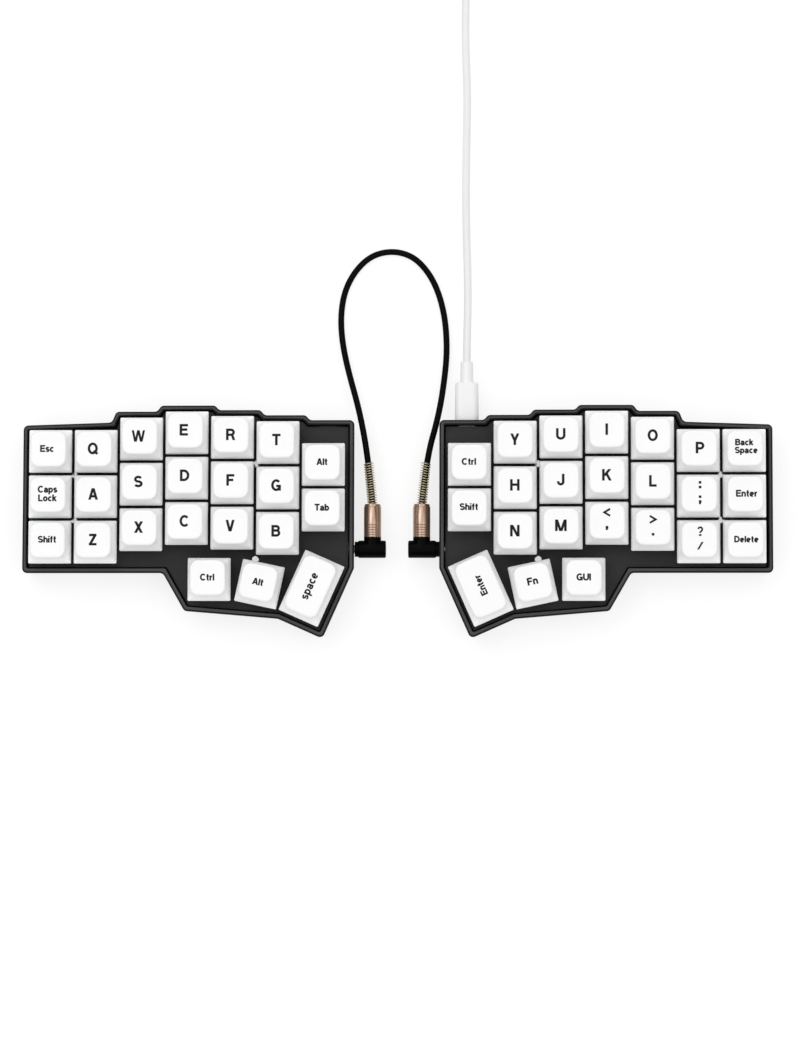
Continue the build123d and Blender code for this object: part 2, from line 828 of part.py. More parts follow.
# USB plug in its own directions: the case's wall at zero, the cord leaving along Z
with BuildPart() as usb_body:
    with BuildSketch():
        RectangleRounded(usb_plug_width, usb_plug_thickness, usb_plug_corner)
    with BuildSketch(Plane.XY.offset(usb_plug_length)):
        tapered_width = usb_plug_width - usb_plug_taper
        tapered_thickness = usb_plug_thickness - usb_plug_taper
        RectangleRounded(tapered_width, tapered_thickness, usb_plug_corner - usb_plug_taper / 2)
    loft()
    fillet(usb_body.faces().sort_by(Axis.Z)[-1].edges(), usb_plug_round)
    with BuildSketch(Plane.XY.offset(usb_plug_length - usb_plug_round)):
        Circle(relief_start / 2)
    with BuildSketch(Plane.XY.offset(usb_plug_length + relief_length)):
        Circle(relief_end / 2)
    loft()

with BuildPart() as usb_shell:
    with BuildSketch():
        RectangleRounded(usb_shell_width, usb_shell_thickness, usb_shell_thickness / 2 - slot_end_flat / 2)
    extrude(amount=-usb_shell_length)
    hollow_width = usb_shell_width - 2 * usb_shell_wall
    hollow_height = usb_shell_thickness - 2 * usb_shell_wall
    with BuildSketch(Plane.XY.offset(-usb_shell_length)):
        RectangleRounded(hollow_width, hollow_height, hollow_height / 2 - slot_end_flat / 2)
    extrude(amount=usb_shell_length - usb_shell_wall, mode=Mode.SUBTRACT)

near_plug = Plane(origin=spot(usb_x, port_edge_y, usb_z), x_dir=(1, 0, 0), z_dir=(0, 1, 0))
plug_reach = usb_plug_length + relief_length


# Coil: the lower turns spiral in, half a turn climbs a layer, and the upper turns spiral out
coil_start = spot(coil_x, coil_start_y, tie_thickness + usb_cord_diameter / 2)
coil_centre = coil_start + Vector(-coil_outer_radius, 0, 0)
quarter_count = inward_quarters + climb_quarters + outward_quarters
small_step = 0.001


def coil_radius(quarter):
    # The spiral reverses halfway up the climb
    turn_back = inward_quarters + climb_quarters / 2
    return coil_outer_radius - coil_turn_pitch / 4 * (turn_back - abs(quarter - turn_back))


def coil_height(quarter):
    share = min(max((quarter - inward_quarters) / climb_quarters, 0), 1)
    return coil_layer_rise * share * share * (3 - 2 * share)


def coil_point(quarter):
    angle = pi / 2 * quarter
    ring = Vector(cos(angle), sin(angle), 0) * coil_radius(quarter)
    return coil_centre + ring + Vector(0, 0, coil_height(quarter))


def coil_way(quarter):
    # The ends point straight round the coil, and the rest along its winding
    angle = pi / 2 * quarter
    if quarter in (0, quarter_count):
        return Vector(-sin(angle), cos(angle), 0)
    return (coil_point(quarter + small_step) - coil_point(quarter - small_step)).normalized()


# Free stretch of the USB lead, from the plug's strain relief to the coil
usb_route = [
    (29.3, 50.0, 8.7),
    (29.6, 61.5, 7.3),
    (29.5, 74.5, 4.6),
    (29.0, 90.0, 2.2),
    (28.6, 108.0, 1.6),
    (28.8, 130.0, 1.6),
    (29.3, 154.0, 1.6),
    (28.3, 178.0, 1.6),
    (28.6, 200.5, 1.6),
]
usb_exit = spot(usb_x, port_edge_y + plug_reach, usb_z)
coil_entry = coil_start - Vector(0, usb_cord_diameter, 0)
usb_points = [usb_exit] + [spot(*point) for point in usb_route] + [coil_entry]
write("usb_cord", cord_tube("usb cord", usb_points, usb_cord_diameter))

coil_exit = coil_point(quarter_count)
tail_way = coil_way(quarter_count)
tail_drop = coil_start.Z + coil_height(quarter_count) - usb_plug_thickness / 2
tail_end = coil_exit + tail_way * tail_length - Vector(0, 0, tail_drop)
with BuildPart() as usb_coil:
    with BuildLine() as coil_path:
        Line(coil_entry, coil_start)
        for quarter in range(quarter_count):
            ahead = quarter + 1
            biarc(coil_point(quarter), coil_way(quarter), coil_point(ahead), coil_way(ahead))
        tail_bend = coil_exit + tail_way * tail_flat_run
        tail_start = tail_end - tail_way * usb_cord_diameter
        Line(coil_exit, tail_bend)
        biarc(tail_bend, tail_way, tail_start, tail_way)
        Line(tail_start, tail_end)
    with BuildSketch(Plane(origin=coil_entry, z_dir=(0, 1, 0))):
        Circle(usb_cord_diameter / 2)
    sweep(path=coil_path.wire())
coil_turn_length = 2 * pi * (coil_outer_radius - coil_turn_pitch * inward_quarters / 8)
coil_gap = least_gap(coil_path.wire(), usb_cord_diameter, coil_turn_length / 2, 1000)
print("usb coil length", round(coil_path.wire().length, 1))
print("usb coil least gap to itself", round(coil_gap, 3))
write("usb_coil", usb_coil.part)

far_origin = tail_end + tail_way * plug_reach
far_plug = Plane(origin=far_origin, x_dir=(0, 1, 0), z_dir=-tail_way)
plug_seats = [near_plug.location, far_plug.location]
write("usb_plugs", *[piece.part.moved(seat) for piece in (usb_body, usb_shell) for seat in plug_seats])
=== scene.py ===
import math
import bmesh
import bpy
import numpy as np
from mathutils import Euler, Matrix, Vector


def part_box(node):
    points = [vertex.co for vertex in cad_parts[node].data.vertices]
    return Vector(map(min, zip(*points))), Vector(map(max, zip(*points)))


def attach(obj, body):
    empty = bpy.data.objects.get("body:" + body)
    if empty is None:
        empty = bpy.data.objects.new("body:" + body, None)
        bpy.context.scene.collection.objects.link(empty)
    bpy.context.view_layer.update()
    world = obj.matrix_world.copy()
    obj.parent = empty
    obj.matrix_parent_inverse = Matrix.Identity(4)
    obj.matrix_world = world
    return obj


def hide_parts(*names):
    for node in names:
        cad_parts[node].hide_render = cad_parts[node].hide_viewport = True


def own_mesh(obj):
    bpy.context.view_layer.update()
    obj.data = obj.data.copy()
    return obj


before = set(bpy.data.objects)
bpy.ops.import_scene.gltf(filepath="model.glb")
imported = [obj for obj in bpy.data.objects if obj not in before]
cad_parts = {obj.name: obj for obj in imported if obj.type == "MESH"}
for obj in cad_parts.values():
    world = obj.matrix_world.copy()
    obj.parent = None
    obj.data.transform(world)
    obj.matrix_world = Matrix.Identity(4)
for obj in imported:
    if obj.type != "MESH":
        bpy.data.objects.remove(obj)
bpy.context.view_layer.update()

mm = 0.001
meshRules = {"sharpAngle": 35, "cadSharpAngle": 30, "joinWithin": 1e-7, "flatWithin": 0.5}
print("frame loaded:", len(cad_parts), "nodes")

# camera, almost straight above the desk and a little towards the typist
cameraView = {
    "place": (0.056863, -0.158177, 1.678402), "turn": (5.441, 1.896, 0.132), "lens": 138.57, "sensor": 36,
    "nearest": 0.01,
}


def makeCamera():
    data = bpy.data.cameras.new("camera")
    data.lens = cameraView["lens"]
    data.sensor_width = cameraView["sensor"]
    data.clip_start = cameraView["nearest"]
    camera = bpy.data.objects.new("camera", data)
    camera.location = cameraView["place"]
    camera.rotation_euler = Euler([math.radians(angle) for angle in cameraView["turn"]])
    bpy.context.scene.collection.objects.link(camera)
    bpy.context.scene.camera = camera


makeCamera()


# meshes: grids of points, turned into quads without a loop over vertices
def gridFaces(rows, columns, offset=0):
    # quads between neighbouring rows, and the last column joins the first
    row, column = np.meshgrid(np.arange(rows - 1), np.arange(columns), indexing="ij")
    right = (column + 1) % columns
    quads = np.stack([row * columns + column, row * columns + right,
                      (row + 1) * columns + right, (row + 1) * columns + column], axis=-1)
    return quads.reshape(-1, 4) + offset


def fanFaces(ring, pole, flip):
    # triangles from a closed ring of vertex numbers to one pole
    around = np.roll(ring, -1)
    fan = np.stack([ring, around, np.full_like(ring, pole)], axis=-1)
    return fan[:, ::-1] if flip else fan


def closedSurface(grid):
    # a stack of loops with a pole in the middle of its first loop and its last loop
    rows, columns = grid.shape[:2]
    first, last = grid[0].mean(axis=0), grid[-1].mean(axis=0)
    points = np.concatenate([grid.reshape(-1, 3), [first, last]])
    ring = np.arange(columns)
    faces = gridFaces(rows, columns).tolist()
    faces += fanFaces(ring, rows * columns, True).tolist()
    faces += fanFaces(ring + (rows - 1) * columns, rows * columns + 1, False).tolist()
    return points, faces


def makePiece(name, shapes, materials, body="chassis", stands=()):
    # shapes is a list of (points, faces, material number); all of them become one object
    points, faces, numbers, start = [], [], [], 0
    for shapePoints, shapeFaces, number in shapes:
        points.append(shapePoints)
        faces += [[corner + start for corner in face] for face in shapeFaces]
        numbers += [number] * len(shapeFaces)
        start += len(shapePoints)
    mesh = bpy.data.meshes.new(name)
    mesh.from_pydata(np.concatenate(points).tolist(), [], faces)
    mesh.polygons.foreach_set("material_index", numbers)
    work = bmesh.new()
    work.from_mesh(mesh)
    bmesh.ops.delete(work, geom=[point for point in work.verts if not point.link_faces], context="VERTS")
    bmesh.ops.recalc_face_normals(work, faces=work.faces)
    work.to_mesh(mesh)
    work.free()
    return finishPiece(name, mesh, materials, body, stands, meshRules["sharpAngle"])


def finishPiece(name, mesh, materials, body, stands, sharp):
    mesh.polygons.foreach_set("use_smooth", [True] * len(mesh.polygons))
    mesh.set_sharp_from_angle(angle=math.radians(sharp))
    mesh.validate()
    mesh.update()
    for material in materials:
        mesh.materials.append(material)
    piece = bpy.data.objects.new(name, mesh)
    bpy.context.scene.collection.objects.link(piece)
    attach(piece, body)
    if stands:
        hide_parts(*stands)
    return piece


def mergedCopy(node):
    # the CAD solid with its loose triangles joined, ready for smooth shading
    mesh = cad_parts[node].data.copy()
    work = bmesh.new()
    work.from_mesh(mesh)
    bmesh.ops.remove_doubles(work, verts=work.verts, dist=meshRules["joinWithin"])
    flat = math.radians(meshRules["flatWithin"])
    bmesh.ops.dissolve_limit(work, angle_limit=flat, verts=work.verts, edges=work.edges)
    work.to_mesh(mesh)
    work.free()
    mesh.materials.clear()
    return mesh


def solidsOf(node):
    # the CAD node's solids one by one, as points and faces, from the lowest to the highest
    mesh = mergedCopy(node)
    points = np.empty(len(mesh.vertices) * 3)
    mesh.vertices.foreach_get("co", points)
    points = points.reshape(-1, 3)
    ends = np.empty(len(mesh.edges) * 2, int)
    mesh.edges.foreach_get("vertices", ends)
    ends = ends.reshape(-1, 2)
    label = np.arange(len(points))
    while True:
        # each point takes the smallest label among its neighbours until nothing changes
        least = np.minimum(label[ends[:, 0]], label[ends[:, 1]])
        before = label.copy()
        np.minimum.at(label, ends[:, 0], least)
        np.minimum.at(label, ends[:, 1], least)
        label = label[label]
        if (label == before).all():
            break
    faces = [list(polygon.vertices) for polygon in mesh.polygons]
    owner = np.array([label[face[0]] for face in faces])
    solids = []
    for root in np.unique(owner):
        used = np.flatnonzero(label == root)
        renumber = np.full(len(points), -1)
        renumber[used] = np.arange(len(used))
        own = [[int(renumber[corner]) for corner in faces[k]] for k in np.flatnonzero(owner == root)]
        solids.append((points[used], own))
    return sorted(solids, key=lambda solid: solid[0][:, 2].min())


# shader node groups: each puts out one mask or value that changes over the surface
def newGroup(name, inputs, outputs):
    group = bpy.data.node_groups.new(name, "ShaderNodeTree")
    for label, kind, value in inputs:
        socket = group.interface.new_socket(name=label, in_out="INPUT", socket_type=kind)
        if value is not None:
            socket.default_value = value
    for label, kind in outputs:
        group.interface.new_socket(name=label, in_out="OUTPUT", socket_type=kind)
    return group, group.nodes.new("NodeGroupInput"), group.nodes.new("NodeGroupOutput")


grainNoise = {
    "fineDetail": 3, "broadScale": 90, "broadDetail": 4, "broadLow": 0.3, "broadHigh": 0.7, "toneDetail": 5,
}


def fineGrainGroup():
    # moulded texture: two sizes of noise on object coordinates
    group, inside, outside = newGroup(
        "fineGrain",
        [("Scale", "NodeSocketFloat", 2000.0), ("Low", "NodeSocketFloat", 0.4),
         ("High", "NodeSocketFloat", 0.6)],
        [("Height", "NodeSocketFloat"), ("Roughness", "NodeSocketFloat")],
    )
    link = group.links.new
    coords = group.nodes.new("ShaderNodeTexCoord")
    fine = group.nodes.new("ShaderNodeTexNoise")
    fine.inputs["Detail"].default_value = grainNoise["fineDetail"]
    broad = group.nodes.new("ShaderNodeTexNoise")
    broad.inputs["Scale"].default_value = grainNoise["broadScale"]
    broad.inputs["Detail"].default_value = grainNoise["broadDetail"]
    spread = group.nodes.new("ShaderNodeMapRange")
    link(coords.outputs["Object"], fine.inputs["Vector"])
    link(coords.outputs["Object"], broad.inputs["Vector"])
    link(inside.outputs["Scale"], fine.inputs["Scale"])
    link(broad.outputs["Fac"], spread.inputs["Value"])
    link(inside.outputs["Low"], spread.inputs["To Min"])
    link(inside.outputs["High"], spread.inputs["To Max"])
    spread.inputs["From Min"].default_value = grainNoise["broadLow"]
    spread.inputs["From Max"].default_value = grainNoise["broadHigh"]
    link(fine.outputs["Fac"], outside.inputs["Height"])
    link(spread.outputs["Result"], outside.inputs["Roughness"])
    return group


def toneShiftGroup():
    # a slow drift between two close tones, as moulded or printed batches have
    group, inside, outside = newGroup(
        "toneShift",
        [("Dark", "NodeSocketColor", None), ("Light", "NodeSocketColor", None),
         ("Scale", "NodeSocketFloat", 40.0)],
        [("Color", "NodeSocketColor")],
    )
    link = group.links.new
    coords = group.nodes.new("ShaderNodeTexCoord")
    noise = group.nodes.new("ShaderNodeTexNoise")
    noise.inputs["Detail"].default_value = grainNoise["toneDetail"]
    mix = group.nodes.new("ShaderNodeMix")
    mix.data_type = "RGBA"
    link(coords.outputs["Object"], noise.inputs["Vector"])
    link(inside.outputs["Scale"], noise.inputs["Scale"])
    link(noise.outputs["Fac"], mix.inputs["Factor"])
    link(inside.outputs["Dark"], mix.inputs["A"])
    link(inside.outputs["Light"], mix.inputs["B"])
    link(mix.outputs["Result"], outside.inputs["Color"])
    return group


def paintedTopLightGroup():
    # painted highlight: how far the surface faces up, so that upward-facing edges and tops are painted
    # lighter, as if lit from above
    group, inside, outside = newGroup(
        "paintedTopLight",
        [("Low", "NodeSocketFloat", 0.8), ("High", "NodeSocketFloat", 0.98),
         ("Dark", "NodeSocketColor", None), ("Light", "NodeSocketColor", None)],
        [("Color", "NodeSocketColor")],
    )
    link = group.links.new
    geometry = group.nodes.new("ShaderNodeNewGeometry")
    split = group.nodes.new("ShaderNodeSeparateXYZ")
    mask = group.nodes.new("ShaderNodeMapRange")
    mask.interpolation_type = "SMOOTHSTEP"
    mix = group.nodes.new("ShaderNodeMix")
    mix.data_type = "RGBA"
    link(geometry.outputs["Normal"], split.inputs["Vector"])
    link(split.outputs["Z"], mask.inputs["Value"])
    link(inside.outputs["Low"], mask.inputs["From Min"])
    link(inside.outputs["High"], mask.inputs["From Max"])
    link(mask.outputs["Result"], mix.inputs["Factor"])
    link(inside.outputs["Dark"], mix.inputs["A"])
    link(inside.outputs["Light"], mix.inputs["B"])
    link(mix.outputs["Result"], outside.inputs["Color"])
    return group


def paintedFillGroup():
    # painted fill light: a tone that fades from a low level of the piece to a higher one, lightening the foot
    # of walls that stand close together, where their neighbours shade them
    group, inside, outside = newGroup(
        "paintedFillLight",
        [("Low", "NodeSocketFloat", 0.0), ("High", "NodeSocketFloat", 0.01),
         ("Foot", "NodeSocketColor", None), ("Head", "NodeSocketColor", None)],
        [("Color", "NodeSocketColor")],
    )
    link = group.links.new
    coords = group.nodes.new("ShaderNodeTexCoord")
    split = group.nodes.new("ShaderNodeSeparateXYZ")
    share = group.nodes.new("ShaderNodeMapRange")
    mix = group.nodes.new("ShaderNodeMix")
    mix.data_type = "RGBA"
    link(coords.outputs["Object"], split.inputs["Vector"])
    link(split.outputs["Z"], share.inputs["Value"])
    link(inside.outputs["Low"], share.inputs["From Min"])
    link(inside.outputs["High"], share.inputs["From Max"])
    link(share.outputs["Result"], mix.inputs["Factor"])
    link(inside.outputs["Foot"], mix.inputs["A"])
    link(inside.outputs["Head"], mix.inputs["B"])
    link(mix.outputs["Result"], outside.inputs["Color"])
    return group


fineGrain = fineGrainGroup()
paintedTopLight = paintedTopLightGroup()
paintedFillLight = paintedFillGroup()
toneShift = toneShiftGroup()


def groupNode(tree, group, **values):
    node = tree.nodes.new("ShaderNodeGroup")
    node.node_tree = group
    for label, value in values.items():
        node.inputs[label].default_value = value
    return node


def grey(level):
    return (level, level, level, 1)


reliefDepth = 0.05 * mm


def makeMaterial(name, dark, light, toneScale, grain, bump, rough, **sockets):
    # the colour drifts between dark and light, and the roughness between both values of rough
    material = bpy.data.materials.new(name)
    material.use_nodes = True
    tree = material.node_tree
    surface = tree.nodes["Principled BSDF"]
    tone = groupNode(tree, toneShift, Dark=dark, Light=light, Scale=toneScale)
    texture = groupNode(tree, fineGrain, Scale=grain, Low=rough[0], High=rough[1])
    relief = tree.nodes.new("ShaderNodeBump")
    relief.inputs["Strength"].default_value = bump
    relief.inputs["Distance"].default_value = reliefDepth
    tree.links.new(tone.outputs["Color"], surface.inputs["Base Color"])
    tree.links.new(texture.outputs["Roughness"], surface.inputs["Roughness"])
    tree.links.new(texture.outputs["Height"], relief.inputs["Height"])
    tree.links.new(relief.outputs["Normal"], surface.inputs["Normal"])
    for label, value in sockets.items():
        surface.inputs[label.replace("_", " ")].default_value = value
    return material


print("node groups made")

capPlastic = makeMaterial(
    "capPlastic", grey(0.76), grey(0.79),
    toneScale=60, grain=3000, bump=0.12, rough=(0.42, 0.55), Sheen_Weight=1.0, Sheen_Roughness=0.4,
)
inkBlack = makeMaterial(
    "inkBlack", grey(0.006), grey(0.01),
    toneScale=80, grain=2500, bump=0.1, rough=(0.45, 0.55), Specular_IOR_Level=0.2,
)
stemPlastic = makeMaterial(
    "stemPlastic", grey(0.45), grey(0.5),
    toneScale=90, grain=2500, bump=0.05, rough=(0.35, 0.45),
)
casePlastic = makeMaterial(
    "casePlastic", grey(0.0), grey(0.003),
    toneScale=50, grain=1800, bump=0.3, rough=(0.38, 0.5), Specular_IOR_Level=0.25,
)
platePaint = makeMaterial(
    "platePaint", grey(0.026), grey(0.031),
    toneScale=70, grain=2200, bump=0.3, rough=(0.5, 0.62), Specular_IOR_Level=0.2,
)
housingBlack = makeMaterial(
    "housingBlack", grey(0.006), grey(0.01),
    toneScale=90, grain=2000, bump=0.05, rough=(0.18, 0.28),
)
housingGrey = makeMaterial(
    "housingGrey", grey(0.42), grey(0.48),
    toneScale=90, grain=2000, bump=0.05, rough=(0.35, 0.45),
)
screwSteel = makeMaterial(
    "screwSteel", grey(0.6), grey(0.75),
    toneScale=300, grain=4000, bump=0.05, rough=(0.1, 0.2), Metallic=1.0,
)
footRubber = makeMaterial(
    "footRubber", grey(0.015), grey(0.025),
    toneScale=100, grain=1500, bump=0.4, rough=(0.7, 0.85),
)
pinGold = makeMaterial(
    "pinGold", (0.8, 0.52, 0.2, 1), (0.9, 0.62, 0.28, 1),
    toneScale=200, grain=3000, bump=0.05, rough=(0.2, 0.3), Metallic=1.0,
)
boardMask = makeMaterial(
    "boardMask", (0.008, 0.02, 0.014, 1), (0.012, 0.028, 0.02, 1),
    toneScale=90, grain=2000, bump=0.1, rough=(0.25, 0.4),
)
plugBlack = makeMaterial(
    "plugBlack", grey(0.001), grey(0.002),
    toneScale=90, grain=2500, bump=0.04, rough=(0.28, 0.38), Specular_IOR_Level=0.04,
)
barrelCopper = makeMaterial(
    "barrelCopper", (0.525, 0.36, 0.27, 1), (0.567, 0.4, 0.305, 1),
    toneScale=300, grain=4000, bump=0.01, rough=(0.22, 0.26), Metallic=0.8,
)
springBronze = makeMaterial(
    "springBronze", (0.84, 0.7, 0.46, 1), (0.96, 0.84, 0.6, 1),
    toneScale=400, grain=4000, bump=0.02, rough=(0.22, 0.32), Metallic=0.8,
)
cordBlack = makeMaterial(
    "cordBlack", grey(0.002), grey(0.004),
    toneScale=120, grain=1800, bump=0.1, rough=(0.35, 0.45), Specular_IOR_Level=0.04,
)
cordWhite = makeMaterial(
    "cordWhite", grey(0.76), grey(0.8),
    toneScale=120, grain=1800, bump=0.1, rough=(0.4, 0.55),
)
plugWhite = makeMaterial(
    "plugWhite", grey(0.8), grey(0.83),
    toneScale=90, grain=2500, bump=0.03, rough=(0.28, 0.4),
)
shellSteel = makeMaterial(
    "shellSteel", grey(0.38), grey(0.44),
    toneScale=300, grain=4000, bump=0.05, rough=(0.22, 0.32), Metallic=1.0,
)


def addPaintedLight(material, group, **values):
    # painted light: a tone that depends on how far the face looks up, or how high it lies, comes on top of
    # the drift
    tree = material.node_tree
    surface = tree.nodes["Principled BSDF"]
    drift = surface.inputs["Base Color"].links[0].from_socket
    added = groupNode(tree, group, **values)
    total = tree.nodes.new("ShaderNodeMix")
    total.data_type = "RGBA"
    total.blend_type = "ADD"
    total.inputs["Factor"].default_value = 1
    tree.links.new(drift, total.inputs["A"])
    tree.links.new(added.outputs["Color"], total.inputs["B"])
    tree.links.new(total.outputs["Result"], surface.inputs["Base Color"])


# painted highlight: the case rim's upward faces and the cap tops are painted lighter
addPaintedLight(casePlastic, paintedTopLight, Low=0.97, High=0.999, Dark=grey(0.006), Light=grey(0.055))
addPaintedLight(capPlastic, paintedTopLight, Low=0.35, High=0.9, Dark=grey(0), Light=grey(0.11))
# painted fill light: the lower part of each cap wall is painted lighter where neighbouring caps shade it
addPaintedLight(capPlastic, paintedFillLight, Low=22.0 * mm, High=27.0 * mm, Foot=grey(0.23), Head=grey(0))
print("materials made")

# cords: the routes in metres, where y counts from the outer column's top key as in the CAD
gridToFrame = (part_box("key_backspace")[0].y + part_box("key_backspace")[1].y) / 2
linkCord = {
    "diameter": 2.6 * mm,
    "length": 0.2413,
    "barrelEnd": (0.0103, -0.02135, 0.008),
    "lean": 5.6,
    "firstRun": 0.019,
    "route": [
        (-0.0158, 0.0176, 0.0066), (-0.0211, 0.0362, 0.0032), (-0.0238, 0.0493, 0.0016),
        (-0.0243, 0.0606, 0.0013), (-0.0225, 0.0708, 0.0013), (-0.0177, 0.0795, 0.0013),
        (-0.0108, 0.0856, 0.0013), (-0.0019, 0.0873, 0.0013), (0.0064, 0.0848, 0.0013),
        (0.0126, 0.0784, 0.0013), (0.0169, 0.0701, 0.0013), (0.0197, 0.0594, 0.0013),
        (0.0207, 0.0475, 0.0016), (0.0202, 0.0359, 0.0032), (0.0176, 0.0171, 0.0066),
    ],
}
usbCord = {
    "diameter": 3.2 * mm,
    "length": 1.019,
    "exit": (0.0292, 0.0386, 0.0088),
    "route": [
        (0.0293, 0.0500, 0.0087), (0.0296, 0.0615, 0.0073), (0.0295, 0.0745, 0.0046),
        (0.0290, 0.0900, 0.0022), (0.0286, 0.1080, 0.0016), (0.0288, 0.1300, 0.0016),
        (0.0293, 0.1540, 0.0016), (0.0283, 0.1780, 0.0016), (0.0286, 0.2005, 0.0016),
        (0.0286, 0.2218, 0.0022),
    ],
    "coilStart": (0.0286, 0.2250, 0.0022),
    "coilRadius": 0.02475,
    "turnPitch": 0.0037,
    "layerRise": 0.00365,
    "inwardQuarters": 14,
    "climbQuarters": 2,
    "outwardQuarters": 13,
    "stepsPerQuarter": 4,
    "tailFlat": 0.012,
    "tail": 0.030,
    "tailHeight": 0.003,
}


quartersInTurn = 4


def cordSpline(name, points, diameter, material, resolution=8):
    data = bpy.data.curves.new(name, "CURVE")
    data.dimensions = "3D"
    data.bevel_depth = diameter / 2
    data.bevel_resolution = 4
    data.resolution_u = resolution
    data.use_fill_caps = True
    spline = data.splines.new("NURBS")
    spline.points.add(len(points) - 1)
    spline.points.foreach_set("co", np.c_[np.array(points), np.ones(len(points))].ravel())
    spline.order_u = 3
    spline.use_endpoint_u = True
    data.materials.append(material)
    cord = bpy.data.objects.new(name, data)
    bpy.context.scene.collection.objects.link(cord)
    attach(cord, "chassis")
    return cord


def inFrame(point):
    return (point[0], point[1] + gridToFrame, point[2])


def linkCordPoints():
    x, y, z = linkCord["barrelEnd"]
    lean = math.radians(linkCord["lean"])
    run = linkCord["firstRun"]
    turn = (x + run * math.sin(lean), y + run * math.cos(lean), z)
    mirrored = [(-x, y, z), (-turn[0], turn[1], z)]
    return [inFrame(point) for point in mirrored + linkCord["route"] + [turn, (x, y, z)]]


def usbCordPoints():
    v = usbCord
    quarters = v["inwardQuarters"] + v["climbQuarters"] + v["outwardQuarters"]
    q = np.linspace(0, quarters, quarters * v["stepsPerQuarter"] + 1)
    turnBack = v["inwardQuarters"] + v["climbQuarters"] / 2
    radius = v["coilRadius"] - v["turnPitch"] / quartersInTurn * (turnBack - np.abs(q - turnBack))
    share = np.clip((q - v["inwardQuarters"]) / v["climbQuarters"], 0, 1)
    x0, y0, z0 = v["coilStart"]
    x = x0 - v["coilRadius"] + radius * np.cos(math.pi / 2 * q)
    y = y0 + radius * np.sin(math.pi / 2 * q)
    z = z0 + v["layerRise"] * share * share * (3 - 2 * share)
    coil = np.c_[x, y, z]
    # the tail leaves straight round the coil and comes down to the plug
    angle = math.pi / 2 * quarters
    way = np.array([-math.sin(angle), math.cos(angle), 0])
    last = coil[-1]
    end = last + way * v["tail"]
    end[2] = v["tailHeight"]
    before = end - way * v["diameter"] * 2
    tail = [last + way * v["tailFlat"] / 2, last + way * v["tailFlat"], before, end]
    return [inFrame(point) for point in [v["exit"]] + v["route"] + coil.tolist() + tail]


linkPath = linkCordPoints()
usbPath = usbCordPoints()
linkCordPiece = cordSpline("linkCord", linkPath, linkCord["diameter"], cordBlack, 10)
usbCordPiece = cordSpline("usbCord", usbPath, usbCord["diameter"], cordWhite, 5)
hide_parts("link_cord")
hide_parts("usb_cord", "usb_coil")
print("cords laid")


# key caps: loops of rounded rectangles, from under the roof out to the dished top
capShape = {
    "bottom": 6.2, "height": 9.3, "side": 18.0, "topSide": 14.2, "baseCorner": 0.5, "topCorner": 3.4,
    "longSide": 27.525, "bow": 0.22, "bowPower": 8, "edge": 0.9, "wall": 1.5, "roof": 1.9, "dish": 0.35,
    "footRound": 0.2, "footInside": 0.25, "leastCorner": 0.3, "wallFrom": 0.8, "wallRows": 7,
    "edgeAngles": (15, 30, 45, 60, 75, 90), "dishShares": (0.94, 0.85, 0.7, 0.5, 0.3, 0.12),
    "cornerSteps": 10, "sideSteps": 6,
    "post": 5.5, "postSteps": 96, "postLift": 0.4, "postInRoof": 0.3, "postHole": 4.0,
    "crossArm": 4.2, "crossWidth": 1.3,
}
plateTop = 12.2 * mm
longKeys = ("key_space", "key_thumb_enter")
turnedKeys = {"key_space": -24, "key_thumb_enter": 24, "key_thumb_alt": -12, "key_fn": 12}


def roundedLoop(halfX, halfY, corner, z, bow=0.0):
    # sides joined by quarter circles; each side bows out by bow x (1 - along squared), most at its middle
    v = capShape
    angles = np.linspace(0, math.pi / 2, v["cornerSteps"])
    loop = []
    for quarter, (sx, sy) in enumerate([(1, 1), (-1, 1), (-1, -1), (1, -1)]):
        turn = angles + quarter * math.pi / 2
        centre = np.array([sx * (halfX - corner), sy * (halfY - corner)])
        arc = centre + corner * np.c_[np.cos(turn), np.sin(turn)]
        nextSide = [(-1, 1), (-1, -1), (1, -1), (1, 1)][quarter]
        nextStart = np.array([nextSide[0] * (halfX - corner), nextSide[1] * (halfY - corner)])
        nextStart = nextStart + corner * np.array([math.cos(turn[-1]), math.sin(turn[-1])])
        shares = np.linspace(0, 1, v["sideSteps"] + 2)[1:-1, None]
        loop += [arc, arc[-1] + (nextStart - arc[-1]) * shares]
    flat = np.concatenate(loop)
    share = flat / [halfX, halfY]
    flat += bow * np.sign(share) * np.abs(share) ** v["bowPower"] * (1 - share[:, ::-1] ** 2)
    return np.c_[flat, np.full(len(flat), z)]


def capSurface(length):
    # the wall leans in at a steady rate, its edge is a quarter circle, and the top is a shallow bowl
    v = capShape
    rise = v["height"]
    lean = (v["side"] - v["topSide"]) / 2 / rise
    rows = []

    def wallLoop(height, inset):
        share = height / rise
        halfX = v["side"] / 2 - lean * height - inset
        halfY = length / 2 - lean * height - inset
        corner = v["baseCorner"] + (v["topCorner"] - v["baseCorner"]) * share
        corner = max(corner - inset, v["leastCorner"])
        return roundedLoop(halfX, halfY, corner, v["bottom"] + height, v["bow"] * share ** 2)

    for height in (rise - v["roof"], rise / 2, v["footInside"]):
        rows.append(wallLoop(height, v["wall"]))
    rows.append(wallLoop(0, v["wall"] - v["footInside"]))
    rows.append(wallLoop(0, v["footRound"]))
    rows.append(wallLoop(v["footRound"], 0))
    edgeBase = rise - v["edge"]
    for height in np.linspace(v["wallFrom"], edgeBase, v["wallRows"]):
        rows.append(wallLoop(height, 0))
    for angle in np.radians(v["edgeAngles"]):
        inset = v["edge"] * (1 - math.cos(angle))
        loop = wallLoop(edgeBase, inset)
        loop[:, 2] = v["bottom"] + edgeBase + v["edge"] * math.sin(angle)
        rows.append(loop)
    rim = rows[-1].copy()
    top = v["bottom"] + rise
    for share in v["dishShares"]:
        loop = rim.copy()
        loop[:, :2] *= share
        loop[:, 2] = top - v["dish"] * (1 - share ** 2)
        rows.append(loop)
    return closedSurface(np.array(rows) * mm)


